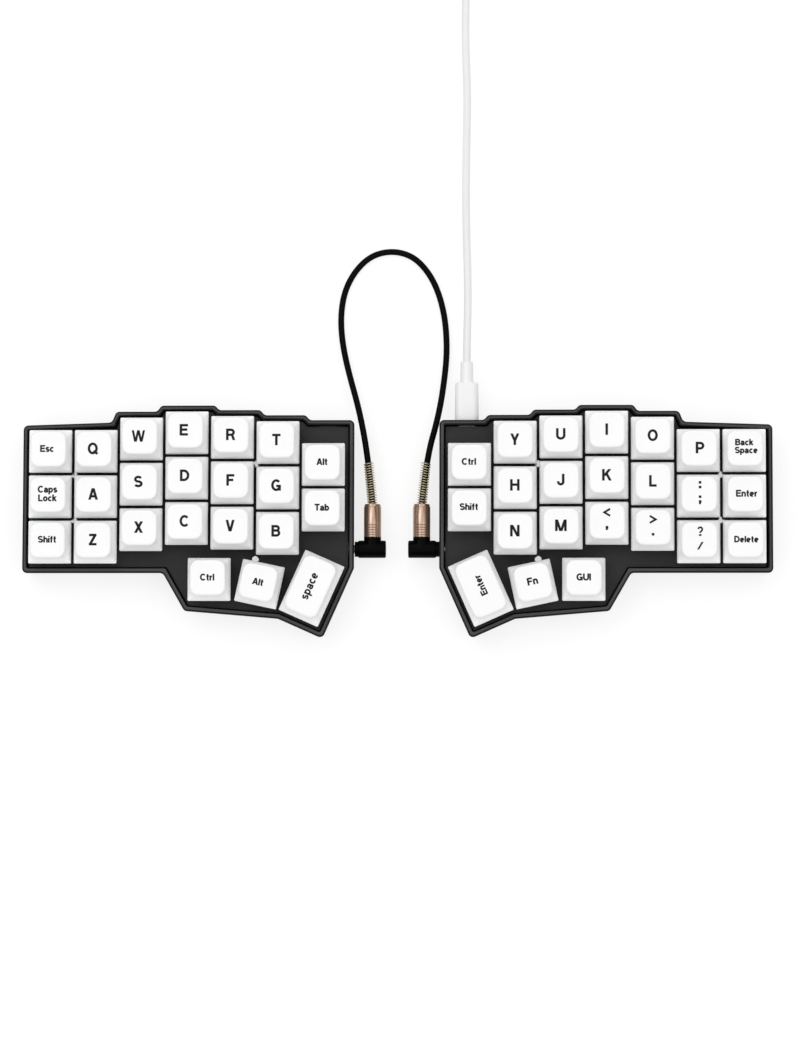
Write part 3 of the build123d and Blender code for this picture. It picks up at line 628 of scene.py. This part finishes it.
def postSurface():
    # a round post with a cross-shaped hole: both outlines are a distance over the same angles
    v = capShape
    angle = np.linspace(0, 2 * math.pi, v["postSteps"], endpoint=False)
    cosine, sine = np.maximum(np.abs(np.cos(angle)), 1e-6), np.maximum(np.abs(np.sin(angle)), 1e-6)
    arm, width = v["crossArm"] / 2, v["crossWidth"] / 2
    cross = np.maximum(np.minimum(arm / cosine, width / sine), np.minimum(width / cosine, arm / sine))
    low, high = v["bottom"] + v["postLift"], v["bottom"] + v["height"] - v["roof"] + v["postInRoof"]
    outside = np.full(len(angle), v["post"] / 2)
    rows = []
    for radius, z in ((cross, low + v["postHole"]), (cross, low), (outside, low), (outside, high)):
        rows.append(np.c_[radius * np.cos(angle), radius * np.sin(angle), np.full(len(angle), z)])
    return closedSurface(np.array(rows) * mm)


def placed(points, centre, turn):
    angle = math.radians(turn)
    cosine, sine = math.cos(angle), math.sin(angle)
    spin = np.array([[cosine, sine, 0], [-sine, cosine, 0], [0, 0, 1]])
    return points @ spin + np.array([centre[0], centre[1], plateTop])


# legends: strokes of one width on a letter box one unit tall, each line of text centred on its key
legendLook = {
    "tall": 4.8, "stroke": 0.212, "fat": 0.28, "gap": 0.13, "spread": 1.03, "aside": -0.12, "rise": 0.25,
    "turn": 0, "lineStep": 1.22, "stand": 0.03, "sink": 0.08,
}


def bend(x, y, halfX, halfY, start, end, steps=14):
    # part of an ellipse, from one angle to another
    angle = np.radians(np.linspace(start, end, steps))
    return np.c_[x + halfX * np.cos(angle), y + halfY * np.sin(angle)].tolist()


def sCurve(middleX, halfX, top, low):
    # two bowls that meet halfway, the upper one opening right and the lower one left
    half = (top - low) / 4
    upper = bend(middleX, top - half, halfX * 0.92, half, 25, 270)
    lower = bend(middleX, low + half, halfX, half, 90, -155)
    return upper + lower[1:]


def bowl(left, right, top, low):
    # out along the top, round, and back along the foot
    middle, half = (top + low) / 2, (top - low) / 2
    reach = min(half, (right - left) * 0.6)
    return [(left, top)] + bend(right - reach, middle, reach, half, 90, -90) + [(left, low)]


letterStrokes = {
    "A": (0.8, ["slant", (0.1, 0), (0.385, 1)], ["slant", (0.7, 0), (0.415, 1)], [(0.22, 0.3), (0.58, 0.3)]),
    "B": (0.74, [(0.1, 0), (0.1, 1)], bowl(0.1, 0.6, 0.9, 0.53), bowl(0.1, 0.64, 0.53, 0.1)),
    "C": (0.8, bend(0.42, 0.5, 0.32, 0.41, 42, 318, 20)),
    "D": (0.78, [(0.1, 0), (0.1, 1)], bowl(0.1, 0.68, 0.9, 0.1)),
    "E": (0.7, [(0.1, 0), (0.1, 1)], [(0.1, 0.9), (0.7, 0.9)],
          [(0.1, 0.52), (0.64, 0.52)], [(0.1, 0.1), (0.7, 0.1)]),
    "F": (0.66, [(0.1, 0), (0.1, 1)], [(0.1, 0.9), (0.66, 0.9)], [(0.1, 0.5), (0.58, 0.5)]),
    "G": (0.82, bend(0.42, 0.5, 0.32, 0.41, 42, 330, 20),
          [(0.42, 0.43), (0.8, 0.43)], [(0.71, 0.5), (0.71, 0.02)]),
    "H": (0.78, [(0.1, 0), (0.1, 1)], [(0.68, 0), (0.68, 1)], [(0.1, 0.52), (0.68, 0.52)]),
    "I": (0.2, [(0.1, 0), (0.1, 1)]),
    "J": (0.6, [(0.5, 1)] + bend(0.29, 0.3, 0.21, 0.21, 0, -180) + [(0.08, 0.36)]),
    "K": (0.78, [(0.1, 0), (0.1, 1)], ["slant", (0.64, 1), (0.16, 0.4)], ["slant", (0.36, 0.62), (0.68, 0)]),
    "L": (0.62, [(0.1, 0), (0.1, 1)], [(0.1, 0.1), (0.62, 0.1)]),
    "M": (0.96, [(0.1, 0), (0.1, 1)], [(0.86, 0), (0.86, 1)],
          ["slant", (0.13, 1), (0.46, 0)], ["slant", (0.83, 1), (0.5, 0)]),
    "N": (0.78, [(0.1, 0), (0.1, 1)], [(0.68, 0), (0.68, 1)], ["slant", (0.13, 1), (0.65, 0)]),
    "O": (0.84, ["ring"] + bend(0.42, 0.5, 0.32, 0.41, 0, 360, 28)),
    "P": (0.7, [(0.1, 0), (0.1, 1)], bowl(0.1, 0.61, 0.9, 0.43)),
    "Q": (0.84, ["ring"] + bend(0.42, 0.5, 0.32, 0.41, 0, 360, 28), [(0.5, 0.3), (0.82, 0.02)]),
    "R": (0.76, [(0.1, 0), (0.1, 1)], bowl(0.1, 0.63, 0.9, 0.47), ["slant", (0.5, 0.47), (0.66, 0)]),
    "S": (0.72, sCurve(0.36, 0.27, 0.9, 0.1)),
    "T": (0.7, [(0.0, 0.9), (0.7, 0.9)], [(0.35, 0), (0.35, 1)]),
    "U": (0.78, [(0.1, 1)] + bend(0.39, 0.38, 0.29, 0.28, 180, 360) + [(0.68, 1)]),
    "V": (0.74, ["slant", (0.1, 1), (0.355, 0)], ["slant", (0.64, 1), (0.385, 0)]),
    "W": (1.14, ["slant", (0.1, 1), (0.31, 0)], ["slant", (0.56, 1), (0.34, 0)],
          ["slant", (0.58, 1), (0.8, 0)], ["slant", (1.04, 1), (0.83, 0)]),
    "X": (0.76, ["slant", (0.12, 1), (0.64, 0)], ["slant", (0.64, 1), (0.12, 0)]),
    "Y": (0.76, ["slant", (0.11, 1), (0.37, 0.4)], ["slant", (0.65, 1), (0.39, 0.4)],
          [(0.38, 0.45), (0.38, 0)]),
    "Z": (0.7, [(0.05, 0.9), (0.67, 0.9)], [(0.03, 0.1), (0.68, 0.1)], ["slant", (0.54, 0.85), (0.16, 0.15)]),
    "a": (0.58, [(0.07, 0.52)] + bend(0.27, 0.46, 0.19, 0.17, 150, 0) + [(0.46, 0)],
          ["ring"] + bend(0.27, 0.22, 0.18, 0.14, 0, 360, 18)),
    "b": (0.62, [(0.1, 0), (0.1, 1)], ["ring"] + bend(0.31, 0.36, 0.21, 0.27, 0, 360, 20)),
    "c": (0.56, bend(0.31, 0.36, 0.21, 0.27, 45, 315, 16)),
    "e": (0.62, bend(0.31, 0.36, 0.21, 0.27, 0, 310, 18), [(0.1, 0.36), (0.52, 0.36)]),
    "h": (0.6, [(0.1, 0), (0.1, 1)], bend(0.3, 0.44, 0.2, 0.2, 180, 0) + [(0.5, 0)]),
    "i": (0.2, [(0.1, 0), (0.1, 0.72)], [(0.1, 0.83), (0.1, 1)]),
    "k": (0.6, [(0.1, 0), (0.1, 1)], ["slant", (0.46, 0.72), (0.14, 0.3)], ["slant", (0.27, 0.44), (0.5, 0)]),
    "l": (0.2, [(0.1, 0), (0.1, 1)]),
    "n": (0.6, [(0.1, 0), (0.1, 0.72)], bend(0.3, 0.44, 0.2, 0.2, 180, 0) + [(0.5, 0)]),
    "o": (0.62, ["ring"] + bend(0.31, 0.36, 0.21, 0.27, 0, 360, 20)),
    "p": (0.62, [(0.1, -0.28), (0.1, 0.72)], ["ring"] + bend(0.31, 0.36, 0.21, 0.27, 0, 360, 20)),
    "r": (0.4, [(0.1, 0), (0.1, 0.72)], bend(0.34, 0.4, 0.24, 0.23, 180, 85)),
    "s": (0.54, sCurve(0.27, 0.18, 0.64, 0.08)),
    "t": (0.4, [(0.19, 0.95)] + bend(0.33, 0.22, 0.14, 0.14, 180, 280), [(0.02, 0.64), (0.38, 0.64)]),
    "f": (0.4, [(0.19, 0)] + bend(0.34, 0.76, 0.15, 0.15, 180, 85), [(0.02, 0.64), (0.38, 0.64)]),
    ":": (0.28, ["fat", (0.14, 0), (0.14, 0.27)], ["fat", (0.14, 0.5), (0.14, 0.77)]),
    ";": (0.28, ["fat", (0.14, 0), (0.14, 0.27)], ["slant", (0.17, 0.08), (0.1, -0.17)],
          ["fat", (0.14, 0.5), (0.14, 0.77)]),
    ",": (0.28, ["fat", (0.14, 0), (0.14, 0.27)], ["slant", (0.17, 0.08), (0.1, -0.17)]),
    ".": (0.28, ["fat", (0.14, 0), (0.14, 0.27)]),
    " ": (0.5,),
    "<": (0.8, [(0.74, 0.87), (0.12, 0.5), (0.74, 0.13)]),
    ">": (0.8, [(0.06, 0.87), (0.68, 0.5), (0.06, 0.13)]),
    "?": (0.62, bend(0.31, 0.68, 0.21, 0.22, 175, -60) + [(0.3, 0.38), (0.3, 0.28)],
          ["fat", (0.3, -0.02), (0.3, 0.17)]),
    "/": (0.72, ["slant", (0.6, 0.9), (0.12, 0.08)]),
}
words = {"tall": 2.8, "spread": 1.06, "gap": 0.06, "stroke": 0.235}
smallWords = {**words, "tall": 2.65}
signs = {"tall": 3.9, "stroke": 0.21, "spread": 1}
legends = {
    "key_q": (["Q"], {"aside": -0.45}),
    "key_w": (["W"], {"aside": -0.5, "stroke": 0.185}),
    "key_e": (["E"], {"aside": -0.6}),
    "key_s": (["S"], {"aside": -0.4}),
    "key_p": (["P"], {"aside": 0.35}),
    "key_esc": (["Esc"], {**words, "aside": -0.5}),
    "key_caps_lock": (["Caps", "Lock"], {**words, "rise": 0.45, "lineStep": 1.3}),
    "key_left_shift": (["Shift"], {**words, "rise": 0.4}),
    "key_upper_alt": (["Alt"], words),
    "key_tab": (["Tab"], words),
    "key_left_ctrl": (["Ctrl"], words),
    "key_thumb_alt": (["Alt"], words),
    "key_space": (["space"], {**words, "tall": 3.5, "stroke": 0.2, "turn": 90, "rise": 0.1}),
    "key_right_ctrl": (["Ctrl"], words),
    "key_right_shift": (["Shift"], {**words, "rise": 0.45}),
    "key_backspace": (["Back ", "Space"], {**smallWords, "aside": 0.4, "rise": 0.85, "lineStep": 1.25}),
    "key_enter": (["Enter"], {**words, "aside": 0.5}),
    "key_delete": (["Delete"], {**smallWords, "aside": 0.25}),
    "key_thumb_enter": (["Enter"], {**words, "turn": 90, "aside": 0.3, "rise": 0.5}),
    "key_fn": (["Fn"], {**words, "tall": 3.1, "rise": 0.6}),
    "key_gui": (["GUI"], {**words, "tall": 2.9}),
    "key_semicolon": ([":", ";"], {**signs, "aside": 0.3, "rise": 1.3, "lineStep": 1.53}),
    "key_comma": (["<", ","], {**signs, "rise": 1.3}),
    "key_period": ([">", "."], {**signs, "rise": 0.9}),
    "key_slash": (["?", "/"], {**signs, "stroke": 0.18, "aside": 0.3, "rise": 0.6, "lineStep": 1.55}),
}


def ribbon(stroke, look):
    # both edges of a stroke: a mitred offset along its path, or a sideways one where its ends lie level
    kind = stroke[0] if isinstance(stroke[0], str) else "path"
    path = np.array(stroke[1:] if kind != "path" else stroke, float)
    half = look["fat" if kind == "fat" else "stroke"] / 2
    if kind == "slant":
        way = path[1] - path[0]
        side = np.array([half * np.linalg.norm(way) / abs(way[1]), 0])
        return path - side, path + side, False
    if kind == "ring":
        path = path[:-1]
        before, after = np.roll(path, 1, axis=0), np.roll(path, -1, axis=0)
    else:
        before = np.concatenate([[2 * path[0] - path[1]], path[:-1]])
        after = np.concatenate([path[1:], [2 * path[-1] - path[-2]]])
    first, second = path - before, after - path
    first /= np.linalg.norm(first, axis=1)[:, None]
    second /= np.linalg.norm(second, axis=1)[:, None]
    normal = np.c_[-(first + second)[:, 1], (first + second)[:, 0]]
    normal /= np.linalg.norm(normal, axis=1)[:, None]
    across = np.c_[-first[:, 1], first[:, 0]]
    miter = half / np.maximum((normal * across).sum(axis=1), 0.4)
    return path + normal * miter[:, None], path - normal * miter[:, None], kind == "ring"


def legendHeight(x, y, length):
    # the bowl's height over the key, for ink that lies on it
    v = capShape
    halfX, halfY = v["topSide"] / 2 - v["edge"], (length - v["side"] + v["topSide"]) / 2 - v["edge"]
    reach = np.minimum(np.maximum(np.abs(x) / halfX, np.abs(y) / halfY), 1)
    return v["bottom"] + v["height"] - v["dish"] * (1 - reach ** 2)


def legendShapes(node, length):
    # every stroke becomes a thin closed bar, four points round at each step of its path
    lines, changes = legends.get(node, ([node[-1].upper()], {}))
    v = {**legendLook, **changes}
    size = [v["tall"] * v["spread"], v["tall"]]
    cosine, sine = math.cos(math.radians(v["turn"])), math.sin(math.radians(v["turn"]))
    shapes = []
    for row, text in enumerate(lines):
        wide = sum(letterStrokes[letter][0] for letter in text) + v["gap"] * (len(text) - 1)
        x, y = -wide / 2, ((len(lines) - 1) / 2 - row) * v["lineStep"] - 0.5
        y += 0.14 if text == "space" else 0
        for letter in text:
            advance, *strokes = letterStrokes[letter]
            for stroke in strokes:
                left, right, ring = ribbon(stroke, v)
                flat = (np.stack([left, right, right, left], axis=1) + [x, y]) * size
                across = flat[..., 0] * cosine - flat[..., 1] * sine + v["aside"]
                along = flat[..., 0] * sine + flat[..., 1] * cosine + v["rise"]
                height = legendHeight(across, along, length) + np.array([v["stand"]] * 2 + [-v["sink"]] * 2)
                grid = np.stack([across, along, height], axis=-1) * mm
                if ring:
                    faces = gridFaces(len(grid) + 1, 4) % (len(grid) * 4)
                    shapes.append((grid.reshape(-1, 3), faces.tolist()))
                else:
                    shapes.append(closedSurface(grid))
            x += advance + v["gap"]
    return shapes


def middleOf(node):
    low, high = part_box(node)
    return (low.x + high.x) / 2, (low.y + high.y) / 2


keyMiddles = {node: middleOf(node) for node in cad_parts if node.startswith("key_")}


def makeKeys():
    v, post = capShape, postSurface()
    caps = {length: capSurface(length) for length in (v["side"], v["longSide"])}
    for node, centre in keyMiddles.items():
        turn = turnedKeys.get(node, 0)
        length = v["longSide"] if node in longKeys else v["side"]
        capPoints, capFaces = caps[length]
        stemPoints, stemFaces = solidsOf(node)[0]
        shapes = [
            (placed(capPoints, centre, turn), capFaces, 0),
            (placed(post[0], centre, turn), post[1], 0),
            (stemPoints, stemFaces, 2),
        ]
        shapes += [(placed(points, centre, turn), faces, 1) for points, faces in legendShapes(node, length)]
        makePiece("cap_" + node[4:], shapes, [capPlastic, inkBlack, stemPlastic], node, [node])


makeKeys()
print("keys made")


def dress(node, materials, choose=None):
    # a smooth copy of a CAD node, whose faces take a material by their place
    mesh = mergedCopy(node)
    if choose:
        centres = np.empty(len(mesh.polygons) * 3)
        mesh.polygons.foreach_get("center", centres)
        numbers = choose(centres.reshape(-1, 3))
        mesh.polygons.foreach_set("material_index", numbers.astype(int).tolist())
    return finishPiece(
        node + "_look", mesh, materials, "chassis", [node], meshRules["cadSharpAngle"])


# where one material ends: the hood over the plate, the near plug's shell in y and the far plug's in x
borders = {"hood": 1.0, "nearShell": 13.65, "farShell": -51.1}
dress("left_case", [casePlastic])
dress("right_case", [casePlastic])
dress("switch_plates", [platePaint])
dress("plate_screws", [screwSteel])
dress("rubber_feet", [footRubber])
dress("switch_housings", [housingGrey, housingBlack], lambda c: c[:, 2] > plateTop + borders["hood"] * mm)
dress("circuit_boards", [boardMask])
usbPlugPiece = dress(
    "usb_plugs", [plugWhite, shellSteel],
    lambda c: (c[:, 1] < gridToFrame + borders["nearShell"] * mm) | (c[:, 0] < borders["farShell"] * mm))

# inside the switches: fixed contact pins, and a coil under each key, built at its resting height with a mesh
# of its own
returnSpring = {
    "width": 4.6, "wire": 0.4, "turns": 9, "around": 12, "section": 6, "travel": 4.0, "play": 0.05,
}


def returnSurface(foot, height):
    # an upright helix of whole turns, and a circle carried along it
    v = returnSpring
    turns = np.linspace(0, v["turns"], v["turns"] * v["around"] + 1)
    angle = 2 * math.pi * turns
    ring = np.c_[np.cos(angle), np.sin(angle), np.zeros(len(angle))]
    centre = foot + ring * (v["width"] - v["wire"]) / 2 * mm
    centre[:, 2] += v["wire"] / 2 * mm + (height - v["wire"] * mm) * turns / v["turns"]
    section = np.linspace(0, 2 * math.pi, v["section"], endpoint=False)[None, :, None]
    wire = np.cos(section) * ring[:, None] + np.sin(section) * np.array([0, 0, 1])
    return closedSurface(centre[:, None] + v["wire"] / 2 * mm * wire)


def makeSwitchInsides():
    v, node = returnSpring, "switch_springs_and_contacts"
    contacts = []
    for points, faces in solidsOf(node):
        low, high = points.min(axis=0), points.max(axis=0)
        if high[0] - low[0] < v["width"] / 2 * mm:
            contacts.append((points, faces, 0))
            continue
        foot = np.array([(low[0] + high[0]) / 2, (low[1] + high[1]) / 2, low[2]])
        key = min(keyMiddles, key=lambda name: math.dist(keyMiddles[name], foot[:2]))[4:]
        height = high[2] - low[2] - v["play"] * mm
        coil = (*returnSurface(foot, height), 0)
        spring = makePiece("spring_" + key, [coil], [pinGold], "chassis", [node])
        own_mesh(spring)
    makePiece("switchContacts", contacts, [pinGold], "chassis", [node])


makeSwitchInsides()

# link plugs: the moulded body and the pin as in the CAD, and a turned barrel with fine rings
barrelShape = {
    "length": 14.0, "radius": 3.6, "steps": 48,
    "rings": [0.9, 1.95, 3.0, 4.05, 5.1], "ringWidth": 0.36, "ringDepth": 0.13,
    "collarFrom": 13.0, "collarRadius": 3.35, "collarEdge": 0.2, "collarRound": 0.08, "collarDrop": 0.1,
    "shoulder": 0.25, "shoulderRound": 0.05, "shoulderDrop": 0.12,
    "mouth": 2.4, "bore": 2.3, "boreDepth": 0.5, "cordHole": 1.3, "neckPlay": 0.02, "pinFrom": 17,
}


def barrelSurface(side):
    # a profile of radius over length, carried round the barrel's axis
    v = barrelShape
    profile = [(0, v["radius"])]
    for middle in v["rings"]:
        profile += [(middle - v["ringWidth"] / 2, v["radius"]), (middle, v["radius"] - v["ringDepth"]),
                    (middle + v["ringWidth"] / 2, v["radius"])]
    collar, end = v["collarFrom"], v["length"]
    profile += [
        (collar - v["shoulder"], v["radius"]),
        (collar - v["shoulderRound"], v["radius"] - v["shoulderDrop"]),
        (collar, v["collarRadius"]),
        (end - v["collarEdge"], v["collarRadius"]),
        (end - v["collarRound"], v["collarRadius"] - v["collarDrop"]),
        (end, v["collarRadius"] - v["collarEdge"]),
        (end, v["mouth"]),
        (end - v["boreDepth"], v["bore"]),
        (end - v["boreDepth"], v["cordHole"]),
    ]
    along, radius = np.array(profile).T
    angle = np.linspace(0, 2 * math.pi, v["steps"], endpoint=False)
    x, y, z = linkCord["barrelEnd"]
    grid = np.stack([
        side * x + radius[:, None] * np.cos(angle) * mm,
        np.repeat((y + gridToFrame + (along - v["length"]) * mm)[:, None], v["steps"], axis=1),
        z + radius[:, None] * np.sin(angle) * mm,
    ], axis=-1)
    return closedSurface(grid)


springShape = {
    "radius": 1.95, "wire": 0.46, "pitch": 1.05, "turns": 16.8, "start": 0.1, "around": 18, "section": 8,
}


def springSurface(side):
    # a helix that leans with the cord, and a circle carried along it
    v = springShape
    turns = np.linspace(0, v["turns"], int(v["turns"] * v["around"]) + 1)
    angle = 2 * math.pi * turns
    lean = math.radians(linkCord["lean"])
    axis = np.array([math.sin(lean), math.cos(lean), 0])
    across, up = np.array([math.cos(lean), -math.sin(lean), 0]), np.array([0, 0, 1])
    ring = np.cos(angle)[:, None] * across + np.sin(angle)[:, None] * up
    centre = (v["start"] + v["pitch"] * turns)[:, None] * axis + ring * v["radius"]
    section = np.linspace(0, 2 * math.pi, v["section"], endpoint=False)[None, :, None]
    wire = v["wire"] / 2 * (np.cos(section) * ring[:, None] + np.sin(section) * axis)
    grid = (centre[:, None] + wire) * mm
    x, y, z = linkCord["barrelEnd"]
    grid += np.array([x, y + gridToFrame, z])
    grid[..., 0] *= side
    return closedSurface(grid)


def makeLinkPlugs():
    neckY = linkCord["barrelEnd"][1] + gridToFrame - barrelShape["length"] * mm
    shapes = []
    for points, faces in solidsOf("link_plugs"):
        # the body and its barrel share a circle, so the barrel's faces are dropped one by one
        body = [face for face in faces if points[face, 1].mean() < neckY + barrelShape["neckPlay"] * mm]
        pin = np.abs(points[:, 0]).min() > barrelShape["pinFrom"] * mm
        shapes.append((points, body, 2 if pin else 0))
    shapes += [(*barrelSurface(side), 1) for side in (-1, 1)]
    materials = [plugBlack, barrelCopper, shellSteel]
    return makePiece("linkPlugs", shapes, materials, "chassis", ["link_plugs"])


linkPlugPiece = makeLinkPlugs()
linkSpringPiece = makePiece("linkSprings", [(*springSurface(side), 0) for side in (-1, 1)], [springBronze],
                            "chassis", ["link_springs"])

# a flat tie round the coil's turns, where they pass furthest to the left
tieShape = {
    "width": 5.0, "play": 0.04, "thick": 0.6, "slackInside": 0.5, "slackOutside": 0.1, "steps": 72,
    "firstQuarter": 2,
}


def tieSurface():
    # a belt round a row of circles: at each angle the centre that reaches furthest, and a radius from it
    v, cord = tieShape, usbCord
    quarters = cord["inwardQuarters"] + cord["climbQuarters"] + cord["outwardQuarters"]
    q = np.arange(v["firstQuarter"], quarters, quartersInTurn)
    turnBack = cord["inwardQuarters"] + cord["climbQuarters"] / 2
    out = cord["coilRadius"] - cord["turnPitch"] / quartersInTurn * (turnBack - np.abs(q - turnBack))
    rise = np.where(q > cord["inwardQuarters"], cord["layerRise"], 0)
    out[out == out.min()] -= v["slackInside"] * mm
    out[out == out.max()] += v["slackOutside"] * mm
    angle = np.linspace(0, 2 * math.pi, v["steps"], endpoint=False)
    way = np.c_[np.cos(angle), np.sin(angle)]
    centres = np.c_[-out, rise]
    furthest = centres[(way @ centres.T).argmax(axis=1)]
    x0, y0, z0 = cord["coilStart"]
    rows = []
    for radius, side in ((v["play"], -1), (v["play"], 1), (v["thick"], 1), (v["thick"], -1)):
        flat = furthest + way * (cord["diameter"] / 2 + radius * mm)
        y = np.full(len(flat), y0 + gridToFrame + side * v["width"] / 2 * mm)
        rows.append(np.c_[flat[:, 0] + x0 - cord["coilRadius"], y, flat[:, 1] + z0])
    grid = np.stack(rows, axis=1)
    return grid.reshape(-1, 3), (gridFaces(v["steps"] + 1, 4) % (v["steps"] * 4)).tolist()


coilTiePiece = makePiece("coilTie", [(*tieSurface(), 0)], [cordWhite], "chassis")
print("CAD pieces dressed")


# studio: a white floor that keeps the shadows, an even world, three lamps and a dark card for reflections
studio = {
    "floor": 4.0, "floorSeen": 0.27, "floorBounce": 0.85, "floorLift": 0.76, "world": 0.9,
    "cardRadius": 1.7, "cardTop": 2.1, "cardTone": 0.08, "cardSteps": 64, "paperRoughness": 0.9,
    "lamps": [
        {"place": (-0.7, 0.6, 1.5), "size": 0.9, "power": 4.0},
        {"place": (0.9, -0.3, 1.6), "size": 1.2, "power": 2.4},
        {"place": (0.0, 0.9, 0.8), "size": 0.8, "power": 1.2},
    ],
}


def makeFloor():
    half = studio["floor"] / 2
    mesh = bpy.data.meshes.new("floor")
    corners = [(-half, -half, 0), (half, -half, 0), (half, half, 0), (-half, half, 0)]
    mesh.from_pydata(corners, [], [(0, 1, 2, 3)])
    material = bpy.data.materials.new("floorPaper")
    material.use_nodes = True
    tree = material.node_tree
    surface = tree.nodes["Principled BSDF"]
    surface.inputs["Roughness"].default_value = studio["paperRoughness"]
    surface.inputs["Specular IOR Level"].default_value = 0
    surface.inputs["Emission Color"].default_value = grey(1)
    rays = tree.nodes.new("ShaderNodeLightPath")
    tone = tree.nodes.new("ShaderNodeMix")
    tone.data_type = "RGBA"
    tone.inputs["A"].default_value = grey(studio["floorBounce"])
    tone.inputs["B"].default_value = grey(studio["floorSeen"])
    seen = tree.nodes.new("ShaderNodeMath")
    seen.operation = "MULTIPLY"
    seen.inputs[1].default_value = studio["floorLift"]
    tree.links.new(rays.outputs["Is Camera Ray"], tone.inputs["Factor"])
    tree.links.new(tone.outputs["Result"], surface.inputs["Base Color"])
    tree.links.new(rays.outputs["Is Camera Ray"], seen.inputs[0])
    tree.links.new(seen.outputs["Value"], surface.inputs["Emission Strength"])
    mesh.materials.append(material)
    floor = bpy.data.objects.new("floor", mesh)
    bpy.context.scene.collection.objects.link(floor)


def makeWorld():
    # even light, and plain white where the camera or a mirror looks at it
    world = bpy.data.worlds.new("studio")
    world.use_nodes = True
    tree = world.node_tree
    link = tree.links.new
    background = tree.nodes["Background"]
    background.inputs["Color"].default_value = grey(1)
    rays = tree.nodes.new("ShaderNodeLightPath")
    direct = tree.nodes.new("ShaderNodeMath")
    direct.operation = "MAXIMUM"
    glass = tree.nodes.new("ShaderNodeMath")
    glass.operation = "MAXIMUM"
    bright = tree.nodes.new("ShaderNodeMix")
    bright.inputs["A"].default_value = studio["world"]
    bright.inputs["B"].default_value = 1.0
    link(rays.outputs["Is Camera Ray"], direct.inputs[0])
    link(rays.outputs["Is Glossy Ray"], direct.inputs[1])
    link(direct.outputs["Value"], glass.inputs[0])
    link(rays.outputs["Is Transmission Ray"], glass.inputs[1])
    link(glass.outputs["Value"], bright.inputs["Factor"])
    link(bright.outputs["Result"], background.inputs["Strength"])
    bpy.context.scene.world = world


def makeCard():
    # a dark card that stands round the set and only shows in gloss and metal, as a band below the bright top
    steps = studio["cardSteps"]
    angle = np.linspace(0, 2 * math.pi, steps, endpoint=False)
    ring = np.c_[np.cos(angle), np.sin(angle)] * studio["cardRadius"]
    points = np.concatenate([np.c_[ring, np.full(steps, height)] for height in (0, studio["cardTop"])])
    mesh = bpy.data.meshes.new("card")
    mesh.from_pydata(points.tolist(), [], gridFaces(2, steps).tolist())
    material = bpy.data.materials.new("cardPaper")
    material.use_nodes = True
    surface = material.node_tree.nodes["Principled BSDF"]
    surface.inputs["Base Color"].default_value = grey(studio["cardTone"])
    surface.inputs["Roughness"].default_value = studio["paperRoughness"]
    mesh.materials.append(material)
    card = bpy.data.objects.new("card", mesh)
    bpy.context.scene.collection.objects.link(card)
    card.visible_camera = False
    card.visible_diffuse = False
    card.visible_transmission = False
    card.visible_shadow = False


def makeLamps():
    for number, v in enumerate(studio["lamps"]):
        data = bpy.data.lights.new(f"lamp{number}", "AREA")
        data.size = v["size"]
        data.energy = v["power"]
        lamp = bpy.data.objects.new(f"lamp{number}", data)
        lamp.location = v["place"]
        lamp.rotation_euler = (-Vector(v["place"])).to_track_quat("-Z", "Y").to_euler()
        bpy.context.scene.collection.objects.link(lamp)


makeFloor()
makeWorld()
makeCard()
makeLamps()
bpy.context.scene.view_settings.view_transform = "Standard"
print("studio made")
